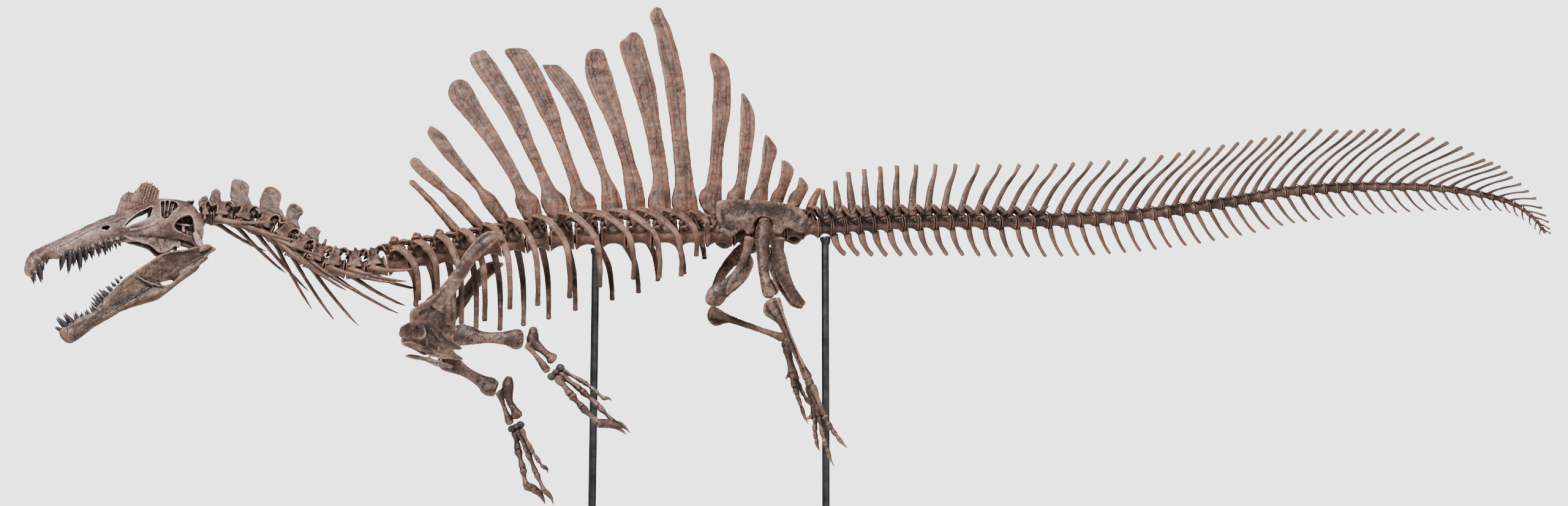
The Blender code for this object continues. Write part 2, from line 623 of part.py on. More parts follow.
def pubis(side):
    path = [(0.15, side * 0.17, -0.10), (0.13, side * 0.13, -0.22), (0.06, side * 0.09, -0.36),
            (-0.04, side * 0.055, -0.47), (-0.12, side * 0.045, -0.56), (-0.13, side * 0.045, -0.64)]
    sizes = [(0.030, 0.045), (0.026, 0.060), (0.024, 0.065), (0.024, 0.055), (0.034, 0.070),
             (0.022, 0.045)]
    return loft(path, sizes)


def ischium(side):
    path = [(0.42, side * 0.17, -0.10), (0.425, side * 0.13, -0.27), (0.49, side * 0.09, -0.43),
            (0.565, side * 0.06, -0.59), (0.66, side * 0.05, -0.66)]
    sizes = [(0.026, 0.075), (0.024, 0.065), (0.020, 0.055), (0.020, 0.050), (0.014, 0.022)]
    return loft(path, sizes)


# Each leg: hip, knee, the thigh bone's bow forward, top of the shin, ankle, clear space above the
# foot, ball of the foot and step between its toes, then the toe tips, inner first, and small toe.
LEGS = {
    LEFT: {"hip": (0.28, -0.29, 0.00), "knee": (0.295, -0.37, -0.68), "bow": 0.03,
           "shin top": (0.325, -0.375, -0.735), "ankle": (0.635, -0.41, -1.44), "foot gap": 0.012,
           "ball": (0.73, -0.42, -1.78), "spread": (0.03, -0.06, 0.0),
           "toes": ((0.74, -0.33, -2.07), (0.85, -0.42, -2.22), (0.96, -0.50, -2.07)),
           "small toe": (0.62, -0.36, -1.80)},
    RIGHT: {"hip": (0.29, 0.29, 0.01), "knee": (-0.14, 0.37, -0.55), "bow": 0.08,
            "shin top": (-0.145, 0.375, -0.66), "ankle": (0.54, 0.41, -0.885), "foot gap": 0.045,
            "ball": (0.63, 0.42, -1.24), "spread": (0.03, 0.06, 0.0),
            "toes": ((0.70, 0.33, -1.56), (0.76, 0.42, -1.70), (0.82, 0.50, -1.53)),
            "small toe": (0.55, 0.36, -1.30)},
}


def femur(side):
    hip, knee = Vector(LEGS[side]["hip"]), Vector(LEGS[side]["knee"])
    down = (knee - hip).normalized()
    fore = ACROSS.cross(down).normalized()
    bow = fore * LEGS[side]["bow"]
    path = [hip - down * 0.05, hip + down * 0.03, hip.lerp(knee, 0.35) + bow,
            hip.lerp(knee, 0.62) + bow, hip.lerp(knee, 0.88) + bow * 0.3, knee - down * 0.01]
    sizes = [(0.035, 0.045), (0.055, 0.075), (0.045, 0.060), (0.038, 0.043), (0.062, 0.062),
             (0.045, 0.045)]
    head_end = Vector((SOCKET_AT[0], side * 0.16, SOCKET_AT[1]))
    ball = loft([hip + down * 0.01, head_end], [(0.05, 0.05), (0.06, 0.06)], 6,
                across=Vector((1, 0, 0)))
    crest = loft([hip.lerp(knee, 0.12) + fore * 0.03, hip.lerp(knee, 0.30) + fore * 0.055 + bow,
                  hip.lerp(knee, 0.44) + fore * 0.02 + bow],
                 [(0.014, 0.03), (0.014, 0.03), (0.01, 0.02)], 4)
    return [loft(path, sizes, 6), ball, crest]


def shin(side):
    """The shin bone and the thin bone beside it, joined at both ends."""
    start, ankle = Vector(LEGS[side]["shin top"]), Vector(LEGS[side]["ankle"])
    down = (ankle - start).normalized()
    fore = down.cross(ACROSS).normalized()
    if fore.x > 0:
        fore = -fore
    path = [start, start + down * 0.07, start.lerp(ankle, 0.28), start.lerp(ankle, 0.75),
            start.lerp(ankle, 0.94), ankle - down * 0.01]
    sizes = [(0.060, 0.075), (0.052, 0.070), (0.034, 0.038), (0.032, 0.034), (0.052, 0.050),
             (0.045, 0.042)]
    crest = loft([start + fore * 0.05, start + down * 0.08 + fore * 0.085,
                  start.lerp(ankle, 0.26) + fore * 0.02], [(0.018, 0.03), (0.016, 0.03), (0.01, 0.015)],
                 4)
    out = ACROSS * side
    thin = loft([start + out * 0.045 - fore * 0.045,
                 start.lerp(ankle, 0.25) + out * 0.045 - fore * 0.03,
                 start.lerp(ankle, 0.7) + out * 0.035 - fore * 0.01,
                 start.lerp(ankle, 0.95) + out * 0.03],
                [(0.022, 0.030), (0.012, 0.015), (0.010, 0.012), (0.016, 0.018)], 4, start=0)
    return [loft(path, sizes, 6), crest, thin]


def digit(points, radius, sides=4):
    """A row of finger or toe bones, then a claw that narrows to its tip."""
    path = [Vector(p) for p in points]
    sizes = [(radius * (1.0 - 0.12 * k), radius * (1.0 - 0.10 * k)) for k in range(len(path))]
    sizes[-1] = (0.003, 0.004)
    return loft(path, sizes, sides)


def foot(side):
    """Three long foot bones side by side, three toes and the small toe, with claws."""
    leg = LEGS[side]
    ankle, ball = Vector(leg["ankle"]), Vector(leg["ball"])
    down = (ball - ankle).normalized()
    spread = Vector(leg["spread"])
    start = ankle + down * leg["foot gap"]
    shells = [loft([start, start + down * 0.05], [(0.055, 0.050), (0.060, 0.045)], 6)]
    for number, tip in zip((-1, 0, 1), leg["toes"]):
        tip = Vector(tip)
        root = start + down * 0.03 + spread * number * 0.5
        knuckle = ball + spread * number
        middle = knuckle.lerp(tip, 0.55) + Vector((-0.015, 0, 0))
        shells.append(loft([root, knuckle, middle, tip],
                           [(0.034, 0.034), (0.034, 0.040), (0.027, 0.027), (0.003, 0.004)], 4))
    small = Vector(leg["small toe"])
    root = ankle.lerp(ball, 0.72) - spread * 0.9
    shells.append(digit([root, root.lerp(small, 0.55) + down * 0.03, small], 0.026, 4))
    return shells


# ------------------------------------------------------------------ shoulders and arms
BLADE = ((-2.08, -0.18), (-2.14, -0.145), (-2.23, -0.165), (-2.31, -0.24), (-2.46, -0.44),
         (-2.62, -0.69), (-2.83, -0.86), (-2.85, -0.95), (-2.75, -1.02), (-2.56, -0.99),
         (-2.49, -0.96), (-2.50, -0.87), (-2.48, -0.78), (-2.42, -0.60), (-2.25, -0.33))
CORACOID = ((-2.80, -0.90), (-2.88, -0.98), (-2.93, -1.05), (-2.88, -1.09), (-2.72, -1.12),
            (-2.42, -1.15), (-2.40, -1.11), (-2.55, -1.02), (-2.62, -0.93))


def shoulder_out(z):
    """How far out the shoulder's plate lies at height z."""
    return between(((-1.20, 0.20), (-0.95, 0.39), (-0.80, 0.45), (-0.15, 0.52)), z)


def shoulder(side):
    """Shoulder blade and the plate below it, one bone on each side."""
    def place(x, z, w):
        return Vector((x, side * shoulder_out(z) + w, z))
    blade = plate([(x, z, 0.016 if z > -0.7 else 0.028) for x, z in BLADE], place)
    lower = plate([(x, z, 0.016) for x, z in CORACOID], place)
    joint = place(-2.50, -0.93, 0)
    boss = loft([joint - ACROSS * side * 0.02, joint + ACROSS * side * 0.03],
                [(0.055, 0.065), (0.045, 0.055)], 6, across=Vector((1, 0, 0)))
    return [blade, lower, boss]


# Each arm as points down the limb: shoulder, elbow and wrist, then the bones of three fingers.
ARMS = {
    LEFT: {"upper": ((-2.46, -0.475, -1.085), (-2.26, -0.50, -1.12), (-2.02, -0.52, -1.13),
                     (-1.89, -0.525, -1.14)),
           "ulna": ((-1.785, -0.53, -1.04), (-1.785, -0.535, -1.16), (-1.70, -0.545, -1.24),
                    (-1.61, -0.555, -1.32)),
           "radius": ((-1.83, -0.56, -1.20), (-1.76, -0.565, -1.29), (-1.66, -0.575, -1.42)),
           "wrist": ((-1.62, -0.575, -1.47), (-1.545, -0.565, -1.39)),
           "fingers": (((-1.57, -0.60, -1.51), (-1.455, -0.62, -1.64), (-1.36, -0.63, -1.75),
                        (-1.22, -0.64, -1.89), (-0.98, -0.65, -1.99)),
                       ((-1.54, -0.58, -1.46), (-1.37, -0.59, -1.59), (-1.22, -0.60, -1.73),
                        (-1.08, -0.61, -1.88), (-0.95, -0.62, -1.97)),
                       ((-1.52, -0.55, -1.40), (-1.35, -0.55, -1.51), (-1.25, -0.55, -1.59),
                        (-1.17, -0.55, -1.66), (-1.10, -0.55, -1.69)))},
    RIGHT: {"upper": ((-2.60, 0.46, -1.10), (-2.43, 0.47, -1.20), (-2.24, 0.49, -1.31),
                      (-2.13, 0.50, -1.38)),
            "ulna": ((-1.995, 0.50, -1.27), (-2.00, 0.50, -1.36), (-1.985, 0.505, -1.48),
                     (-1.905, 0.51, -1.63)),
            "radius": ((-2.075, 0.53, -1.41), (-2.03, 0.535, -1.54), (-1.975, 0.54, -1.685)),
            "wrist": ((-1.955, 0.53, -1.74), (-1.875, 0.52, -1.70)),
            "fingers": (((-1.93, 0.56, -1.78), (-1.90, 0.58, -1.92), (-1.85, 0.59, -2.09),
                         (-1.82, 0.60, -2.25), (-1.64, 0.61, -2.42)),
                        ((-1.90, 0.54, -1.76), (-1.81, 0.55, -1.95), (-1.73, 0.56, -2.14),
                         (-1.655, 0.565, -2.30), (-1.57, 0.57, -2.43)),
                        ((-1.85, 0.51, -1.75), (-1.78, 0.51, -1.93), (-1.72, 0.51, -2.02),
                         (-1.67, 0.51, -2.09), (-1.63, 0.51, -2.15)))},
}


def humerus(side):
    path = ARMS[side]["upper"]
    shells = [loft(path, [(0.045, 0.070), (0.036, 0.050), (0.042, 0.062), (0.052, 0.085)], 6)]
    top, next_point = Vector(path[0]), Vector(path[1])
    shells.append(loft([top.lerp(next_point, 0.1) + Vector((0, 0, 0.02)),
                        top.lerp(next_point, 0.6) + Vector((0.0, 0, 0.075)),
                        next_point.lerp(Vector(path[2]), 0.2) + Vector((0, 0, 0.03))],
                       [(0.018, 0.03), (0.014, 0.03), (0.014, 0.02)], 4))
    return shells


def forearm(side):
    """Ulna and radius, touching at both ends."""
    ulna, radius = ARMS[side]["ulna"], ARMS[side]["radius"]
    shells = [loft(ulna, [(0.030, 0.035), (0.040, 0.050), (0.028, 0.034), (0.034, 0.040)], 6)]
    shells.append(loft(radius, [(0.030, 0.034), (0.020, 0.024), (0.028, 0.038)], 6))
    shells.append(loft([Vector(ulna[1]), Vector(radius[0])], [(0.026, 0.026), (0.026, 0.026)], 4))
    return shells


def hand(side):
    """Wrist bones and three clawed fingers, the inner one with the great claw."""
    wrist, fingers = ARMS[side]["wrist"], ARMS[side]["fingers"]
    shells = [loft(wrist, [(0.038, 0.045), (0.036, 0.045)], 6)]
    for points, radius in zip(fingers, (0.044, 0.036, 0.027)):
        root = Vector(points[0]).lerp((Vector(wrist[0]) + Vector(wrist[1])) / 2, 0.45)
        shells.append(digit([root] + list(points[1:]), radius))
    return shells


# ------------------------------------------------------------------ stand
BASE_LENGTH, BASE_WIDTH, BASE_HEIGHT = 4.2, 1.8, 0.06
ROD_RADIUS = 0.035
RODS = ((-1.27, "stand_rod_front"), (0.865, "stand_rod_rear"))


def stand_base(finish):
    bm = bmesh.new()
    bmesh.ops.create_cube(bm, size=1.0)
    bmesh.ops.scale(bm, verts=bm.verts, vec=(BASE_LENGTH, BASE_WIDTH, BASE_HEIGHT))
    bmesh.ops.translate(bm, verts=bm.verts, vec=(0, 0, BASE_HEIGHT / 2))
    corners = [e for e in bm.edges if abs(e.verts[0].co.z - e.verts[1].co.z) > BASE_HEIGHT / 2]
    bmesh.ops.bevel(bm, geom=corners, offset=0.12, segments=3, affect="EDGES", profile=0.5)
    rim = [e for e in bm.edges if all(v.co.z > BASE_HEIGHT / 2 for v in e.verts)]
    bmesh.ops.bevel(bm, geom=rim, offset=0.012, segments=1, affect="EDGES")
    mesh = bpy.data.meshes.new("stand_base")
    bm.to_mesh(mesh)
    bm.free()
    base = bpy.data.objects.new("stand_base", mesh)
    bpy.context.scene.collection.objects.link(base)
    mesh.materials.append(finish)


def stand_rod(x, name, pose_matrix, finish):
    """An upright rod with a foot flange and a small pad under one vertebra."""
    middle, _, _, up = course.frame(course.distance_at_x(x))
    under = middle - up * (body_radius(x) + 0.002)
    top = pose_matrix @ under
    along = (pose_matrix.to_3x3() @ up).normalized()
    foot_z = BASE_HEIGHT + GAP
    foot = Vector((top.x, top.y, foot_z))
    shells = [loft([foot, Vector((top.x, top.y, top.z - 0.03))],
                   [(ROD_RADIUS, ROD_RADIUS)] * 2, 10, across=ACROSS),
              loft([foot, foot + Vector((0, 0, 0.02))], [(0.10, 0.10)] * 2, 12, across=ACROSS),
              loft([top - along * 0.05, top], [(0.05, 0.05)] * 2, 10, across=ACROSS)]
    weld(name, shells, finish)


# ------------------------------------------------------------------ the whole skeleton
def build():
    for old in list(bpy.data.objects):
        bpy.data.objects.remove(old)
    pose = bpy.data.objects.new("pose", None)
    pose.location = (0, 0, BACK_HEIGHT)
    pose.rotation_euler = (-BANK, 0, 0)
    bpy.context.scene.collection.objects.link(pose)
    pose_matrix = Matrix.Translation((0, 0, BACK_HEIGHT)) @ Matrix.Rotation(-BANK, 4, "X")

    bone = material("fossil_bone", (0.22, 0.14, 0.11), 0.6)
    grey_bone = material("grey_bone", (0.30, 0.23, 0.22), 0.6)
    sail_bone = material("sail_bone", (0.20, 0.11, 0.08), 0.62)
    steel = material("dark_steel", (0.05, 0.05, 0.055), 0.45, 1.0)
    board = material("base_board", (0.10, 0.10, 0.105), 0.6)

    shells, cuts = skull()
    weld("skull", shells, grey_bone, cuts, pose)
    shells, cuts = jaw()
    weld("lower_jaw", shells, bone, cuts, pose)
    for name, first, last in (("neck_front", 0, 3), ("neck_middle", 4, 6), ("neck_rear", 7, 9)):
        shells = [centra(NECK[first:last + 2], body_radius, 1.05)]
        for k in range(first, last + 1):
            shells += neck_vertebra(k)
        weld(name, shells, bone, (), pose)
    for name, first, last in (("back_front", 0, 4), ("back_middle", 5, 9), ("back_rear", 10, 13)):
        weld(name, trunk_length(DORSALS[first:last + 2], first), sail_bone, (), pose)
    weld("sacrum", trunk_length(SACRALS, DORSAL_COUNT), sail_bone, (), pose)
    for side, word in SIDES:
        for name, first, last in (("front", 0, 3), ("middle", 4, 8), ("rear", 9, 12)):
            weld(f"ribs_{name}_{word}", rib_group(first, last, side), bone, (), pose)
        weld(f"ilium_{word}", [ilium(side)], grey_bone, (), pose)
        weld(f"pubis_{word}", [pubis(side)], grey_bone, (), pose)
        weld(f"ischium_{word}", [ischium(side)], grey_bone, (), pose)
        weld(f"thigh_{word}", femur(side), bone, (), pose)
        weld(f"shin_{word}", shin(side), bone, (), pose)
        weld(f"foot_{word}", foot(side), bone, (), pose)
        weld(f"shoulder_{word}", shoulder(side), grey_bone, (), pose)
        weld(f"upper_arm_{word}", humerus(side), grey_bone, (), pose)
        weld(f"forearm_{word}", forearm(side), bone, (), pose)
        weld(f"hand_{word}", hand(side), grey_bone, (), pose)
    bounds = [round(k * CAUDAL_COUNT / 8) for k in range(9)]
    for number, (first, end) in enumerate(zip(bounds, bounds[1:]), 1):
        weld(f"tail_{number}", [tail_length(first, end - 1)], bone, (), pose)
    stand_base(board)
    for x, name in RODS:
        stand_rod(x, name, pose_matrix, steel)


build()
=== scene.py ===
"""Looks of a life-size mounted Spinosaurus skeleton in a swimming pose, on a plain display stand."""

import json
import math

import bmesh
import bpy
import numpy as np
from mathutils import Matrix, Vector, noise

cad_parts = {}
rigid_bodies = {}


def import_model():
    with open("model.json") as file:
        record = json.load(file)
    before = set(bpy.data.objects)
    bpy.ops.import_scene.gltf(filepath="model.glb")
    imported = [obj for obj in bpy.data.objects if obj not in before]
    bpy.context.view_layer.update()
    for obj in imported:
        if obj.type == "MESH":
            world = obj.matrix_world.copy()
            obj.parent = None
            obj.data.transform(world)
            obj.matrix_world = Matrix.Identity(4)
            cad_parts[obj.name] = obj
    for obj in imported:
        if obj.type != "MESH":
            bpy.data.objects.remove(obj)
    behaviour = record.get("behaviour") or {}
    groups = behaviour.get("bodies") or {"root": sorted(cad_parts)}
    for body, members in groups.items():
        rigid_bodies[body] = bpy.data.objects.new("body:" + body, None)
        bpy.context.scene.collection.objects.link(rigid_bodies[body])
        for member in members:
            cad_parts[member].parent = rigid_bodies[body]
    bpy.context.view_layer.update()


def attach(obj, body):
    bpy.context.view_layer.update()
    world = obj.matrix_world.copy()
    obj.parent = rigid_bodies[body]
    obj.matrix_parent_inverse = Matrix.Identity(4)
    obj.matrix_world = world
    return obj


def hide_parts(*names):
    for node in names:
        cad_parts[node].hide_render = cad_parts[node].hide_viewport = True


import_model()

# ------------------------------------------------------------------ floor, light and camera
# A plain pale floor under a pale sky, a broad soft key light from the upper left, a weaker fill
# and a rim light behind.
FLOOR_RADIUS, FLOOR_DROP = 70.0, 0.002
floor_mesh = bpy.data.meshes.new("floor")
bm = bmesh.new()
bmesh.ops.create_circle(bm, cap_ends=True, segments=128, radius=FLOOR_RADIUS)
bmesh.ops.translate(bm, verts=bm.verts, vec=(0, 0, -FLOOR_DROP))
bm.to_mesh(floor_mesh)
bm.free()
floor = bpy.data.objects.new("floor", floor_mesh)
bpy.context.scene.collection.objects.link(floor)
paint = bpy.data.materials.new("floor_paint")
paint.use_nodes = True
nodes, link = paint.node_tree.nodes, paint.node_tree.links.new
mottle = nodes.new("ShaderNodeTexNoise")
mottle.inputs["Scale"].default_value = 0.6
shades = nodes.new("ShaderNodeValToRGB")
shades.color_ramp.elements[0].color = (0.80, 0.79, 0.78, 1)
shades.color_ramp.elements[1].color = (0.86, 0.855, 0.85, 1)
place = nodes.new("ShaderNodeTexCoord")
link(place.outputs["Object"], mottle.inputs["Vector"])
link(mottle.outputs["Fac"], shades.inputs["Fac"])
link(shades.outputs["Color"], nodes["Principled BSDF"].inputs["Base Color"])
nodes["Principled BSDF"].inputs["Roughness"].default_value = 0.7
floor_mesh.materials.append(paint)

# How bright the sky is as a light, and as the camera sees it.
SKY_LIGHT, SKY_SEEN = 0.42, 3.2
world = bpy.data.worlds.new("studio")
world.use_nodes = True
sky = world.node_tree.nodes["Background"]
sky.inputs["Color"].default_value = (1.0, 1.0, 1.0, 1)
rays = world.node_tree.nodes.new("ShaderNodeLightPath")
brightness = world.node_tree.nodes.new("ShaderNodeMapRange")
brightness.inputs["To Min"].default_value = SKY_LIGHT
brightness.inputs["To Max"].default_value = SKY_SEEN
world.node_tree.links.new(rays.outputs["Is Camera Ray"], brightness.inputs["Value"])
world.node_tree.links.new(brightness.outputs["Result"], sky.inputs["Strength"])
bpy.context.scene.world = world

# Each lamp: name, place, size and power. All face LIT_POINT.
LIT_POINT = Vector((0.5, 0, 2.6))
LIGHTS = (("key", (-5.0, -11.0, 12.0), 4.0, 4300), ("fill", (9.0, -12.0, 3.0), 9.0, 500),
          ("rim", (3.0, 10.0, 9.0), 8.0, 900))
for name, spot, size, power in LIGHTS:
    data = bpy.data.lights.new(name, "AREA")
    data.size = size
    data.energy = power
    lamp = bpy.data.objects.new(name, data)
    lamp.location = spot
    lamp.rotation_euler = (LIT_POINT - Vector(spot)).to_track_quat("-Z", "Y").to_euler()
    bpy.context.scene.collection.objects.link(lamp)

SENSOR_WIDTH, FOCAL_LENGTH = 36.0, 42.734
CAMERA_AT, LOOKS_AT = Vector((-1.869, -16.858, 0.307)), Vector((0.5, 0, 2.76))
lens = bpy.data.cameras.new("camera")
lens.sensor_width = SENSOR_WIDTH
lens.lens = FOCAL_LENGTH
lens.clip_end = 200.0
camera = bpy.data.objects.new("camera", lens)
camera.location = CAMERA_AT
camera.rotation_euler = (LOOKS_AT - CAMERA_AT).to_track_quat("-Z", "Y").to_euler()
bpy.context.scene.collection.objects.link(camera)
bpy.context.scene.camera = camera

# ------------------------------------------------------------------ the backbone's course
# The animal is laid out with +X to the tail, +Y to its right and z = 0 on the backbone over the
# hips. POSE lifts and banks it. The backbone is a fine curve that is read by distance along it.
POSE = Matrix.Translation((0, 0, 2.93)) @ Matrix.Rotation(math.radians(-7), 4, "X")
LEFT, RIGHT = -1, 1
SIDES = ((LEFT, "left"), (RIGHT, "right"))
BACKBONE = [
    (-4.70, -0.20, -0.02), (-4.49, -0.15, 0.00), (-4.32, -0.11, -0.03), (-4.10, -0.07, -0.11),
    (-3.87, -0.04, -0.27), (-3.64, -0.02, -0.385), (-3.46, -0.01, -0.405), (-3.27, 0, -0.405),
    (-2.99, 0, -0.345), (-2.50, 0, -0.25), (-2.07, 0, -0.16), (-1.63, 0, -0.10),
    (-0.91, 0, -0.05), (0.02, 0, -0.02), (0.82, 0, 0.07), (1.40, 0.01, 0.12),
    (2.00, 0.04, 0.165), (3.00, 0.14, 0.22), (3.96, 0.25, 0.33), (4.99, 0.30, 0.51),
    (5.56, 0.30, 0.625), (6.36, 0.27, 0.69), (7.14, 0.17, 0.66), (7.72, 0.08, 0.53),
    (7.96, 0.03, 0.36), (8.07, 0.00, 0.18),
]


def spline(rows, steps):
    """Rows of numbers on Catmull-Rom curves through the given rows."""
    rows = np.array(rows, float)
    ends = np.vstack([2 * rows[0] - rows[1], rows, 2 * rows[-1] - rows[-2]])
    t = np.arange(steps)[:, None] / steps
    parts = [0.5 * (2 * b + (c - a) * t + (2 * a - 5 * b + 4 * c - d) * t ** 2
                    + (3 * b - a - 3 * c + d) * t ** 3)
             for a, b, c, d in zip(ends, ends[1:], ends[2:], ends[3:])]
    return np.vstack(parts + [rows[-1:]])


def between(keys, t):
    """The value at t on straight runs through (t, value) keys."""
    return float(np.interp(t, [key[0] for key in keys], [key[1] for key in keys]))


curve = spline(BACKBONE, 24)
reach = np.concatenate([[0.0], np.cumsum(np.linalg.norm(np.diff(curve, axis=0), axis=1))])


def point_at(distance):
    return Vector([np.interp(distance, reach, curve[:, k]) for k in range(3)])


def frame_at(distance):
    """Middle, aft, right and up at that distance."""
    aft = (point_at(distance + 0.03) - point_at(distance - 0.03)).normalized()
    right = Vector((0, 0, 1)).cross(aft).normalized()
    return point_at(distance), aft, right, aft.cross(right)


def local(distance):
    """A function that places (aft, up, right) offsets from the backbone there."""
    middle, aft, right, up = frame_at(distance)
    return lambda a, u, r: middle + aft * a + up * u + right * r


def joints(start, end, keys, count):
    """Distances of the joints of `count` vertebrae, with lengths in the proportions of the keys."""
    lengths = np.array([between(keys, k) for k in range(count)])
    return np.concatenate([[start], start + np.cumsum(lengths) * (end - start) / lengths.sum()])


def distance_at(x):
    return reach[np.argmax(curve[:, 0] >= x)]


def body_radius(x):
    """Half height of the vertebra's body at x."""
    return between(((-4.7, 0.070), (-4.0, 0.085), (-3.2, 0.094), (-0.5, 0.098), (0.8, 0.092),
                    (1.4, 0.082), (2.4, 0.073), (3.5, 0.066), (4.3, 0.058), (6.1, 0.050),
                    (6.9, 0.038), (7.6, 0.032), (8.07, 0.016)), x)


NECK = np.concatenate([[0.0], joints(0.10, distance_at(-3.09), ((0, 1), (1, 1)), 9)])
DORSALS = joints(distance_at(-3.09), distance_at(0.01), ((0, 0.19), (13, 0.245)), 14)
SACRALS = joints(distance_at(0.01), distance_at(0.81), ((0, 1), (1, 1)), 5)
CAUDALS = joints(distance_at(0.81), reach[-1] - 0.002,
                 ((0, 0.118), (3, 0.130), (9, 0.157), (16, 0.157), (20, 0.146), (25, 0.135),
                  (45, 0.122), (54, 0.070)), 55)

# ------------------------------------------------------------------ how bones are shaped
# Bones grow together from overlapping closed tubes and plates, which a fine remesh melts into one
# skin. Vertebrae, ribs, spines and teeth repeat along a line, so nodes place or sweep them.


def tube(rows, sides=14, steps=5, across=(0, 1, 0), blunt=0.6):
    """A closed tube with round ends. rows holds (x, y, z, half width along `across`, half depth)."""
    keys = spline(rows, steps)
    centre, half = keys[:, :3], np.maximum(keys[:, 3:5], 0.001)
    ahead = np.gradient(centre, axis=0)
    ahead /= np.linalg.norm(ahead, axis=1)[:, None]
    deep = np.cross(ahead, np.array(across, float))
    deep /= np.linalg.norm(deep, axis=1)[:, None]
    wide = np.cross(deep, ahead)
    last = len(keys) - 1
    stations = [(0, 0.35, -0.94), (0, 0.75, -0.66)] + [(i, 1, 0) for i in range(last + 1)]
    stations += [(last, 0.75, 0.66), (last, 0.35, 0.94)]
    turn = 2 * np.pi * (np.arange(sides) + 0.5) / sides
    verts = []
    for i, shrink, shift in stations:
        middle = centre[i] + ahead[i] * shift * blunt * half[i].min()
        ring = (np.outer(np.cos(turn), wide[i] * half[i, 0])
                + np.outer(np.sin(turn), deep[i] * half[i, 1]))
        verts.append(middle + ring * shrink)
    verts.append([centre[0] - ahead[0] * blunt * half[0].min(),
                  centre[-1] + ahead[-1] * blunt * half[-1].min()])
    faces, end = [], len(stations) * sides
    for i in range(len(stations) - 1):
        for k in range(sides):
            n = (k + 1) % sides
            faces.append((i * sides + k, i * sides + n, (i + 1) * sides + n, (i + 1) * sides + k))
    faces += [(end, (k + 1) % sides, k) for k in range(sides)]
    faces += [(end + 1, end - sides + k, end - sides + (k + 1) % sides) for k in range(sides)]
    return np.vstack(verts), faces


def slab(outline, placed, steps=4):
    """A plate with a rounded rim. outline holds (a, b, half thickness), placed(a, b, w) a point."""
    count = len(outline)
    rows = np.array(list(outline) * 3, float)
    ring = spline(rows, steps)[count * steps:2 * count * steps]
    area = np.sum(ring[:, 0] * np.roll(ring[:, 1], -1) - ring[:, 1] * np.roll(ring[:, 0], -1))
    along = np.roll(ring[:, :2], -1, axis=0) - np.roll(ring[:, :2], 1, axis=0)
    along /= np.linalg.norm(along, axis=1)[:, None]
    inward = np.stack([-along[:, 1], along[:, 0]], axis=1) * np.sign(area)
    verts, size = [], len(ring)
    for level in (-1.0, -0.7, 0.0, 0.7, 1.0):
        inset = 1 - math.sqrt(max(0.0, 1 - level * level))
        for (a, b, w), (da, db) in zip(ring, inward):
            verts.append(placed(a + da * w * inset, b + db * w * inset, w * level))
    faces = [tuple(range(size)), tuple(range(4 * size, 5 * size))]
    for i in range(4):
        for k in range(size):
            n = (k + 1) % size
            faces.append((i * size + k, i * size + n, (i + 1) * size + n, (i + 1) * size + k))
    return np.array([tuple(v) for v in verts]), faces


def mesh_of(shells):
    """One mesh from closed shells, with faces that point out."""
    verts, faces, count = [], [], 0
    for points, polygons in shells:
        verts.append(points)
        faces += [tuple(k + count for k in polygon) for polygon in polygons]
        count += len(points)
    mesh = bpy.data.meshes.new("shells")
    mesh.from_pydata(np.vstack(verts).tolist(), [], faces)
    bm = bmesh.new()
    bm.from_mesh(mesh)
    bmesh.ops.triangulate(bm, faces=[face for face in bm.faces if len(face.verts) > 4],
                          ngon_method="EAR_CLIP")
    bmesh.ops.recalc_face_normals(bm, faces=bm.faces)
    bm.to_mesh(mesh)
    bm.free()
    return mesh


def evaluated(mesh, *modifiers):
    """The mesh after modifiers, each a (kind, settings) pair."""
    helper = bpy.data.objects.new("helper", mesh)
    bpy.context.scene.collection.objects.link(helper)
    for kind, settings in modifiers:
        modifier = helper.modifiers.new(kind, kind)
        for key, value in settings.items():
            if key.startswith("Socket"):
                modifier[key] = value
            else:
                setattr(modifier, key, value)
    depsgraph = bpy.context.evaluated_depsgraph_get()
    made = bpy.data.meshes.new_from_object(helper.evaluated_get(depsgraph))
    bpy.data.objects.remove(helper)
    return made


def fuse(shells, voxel, soften=3):
    """Melts overlapping shells into one skin and softens it."""
    return evaluated(mesh_of(shells), ("REMESH", {"mode": "VOXEL", "voxel_size": voxel}),
                     ("SMOOTH", {"factor": 0.5, "iterations": soften}))


def carve(shell, cutters):
    """A shell less some others."""
    group = bpy.data.collections.new("cutters")
    for cutter in cutters:
        group.objects.link(bpy.data.objects.new("cutter", mesh_of([cutter])))
    mesh = evaluated(mesh_of([shell]), ("BOOLEAN", {"operation": "DIFFERENCE", "solver": "EXACT",
                                                    "operand_type": "COLLECTION",
                                                    "collection": group}))
    for cutter in list(group.objects):
        bpy.data.objects.remove(cutter)
    bpy.data.collections.remove(group)
    return (np.array([tuple(v.co) for v in mesh.vertices]),
            [tuple(polygon.vertices) for polygon in mesh.polygons])


def node_tree(name, inputs):
    """An empty tree from geometry to geometry, with its group input and output."""
    tree = bpy.data.node_groups.new(name, "GeometryNodeTree")
    tree.interface.new_socket("Geometry", in_out="INPUT", socket_type="NodeSocketGeometry")
    for label, kind in inputs:
        tree.interface.new_socket(label, in_out="INPUT", socket_type=kind)
    tree.interface.new_socket("Geometry", in_out="OUTPUT", socket_type="NodeSocketGeometry")
    return tree, tree.nodes.new("NodeGroupInput"), tree.nodes.new("NodeGroupOutput")


def named(tree, name, kind):
    node = tree.nodes.new("GeometryNodeInputNamedAttribute")
    node.data_type = kind
    node.inputs["Name"].default_value = name
    return node.outputs["Attribute"]


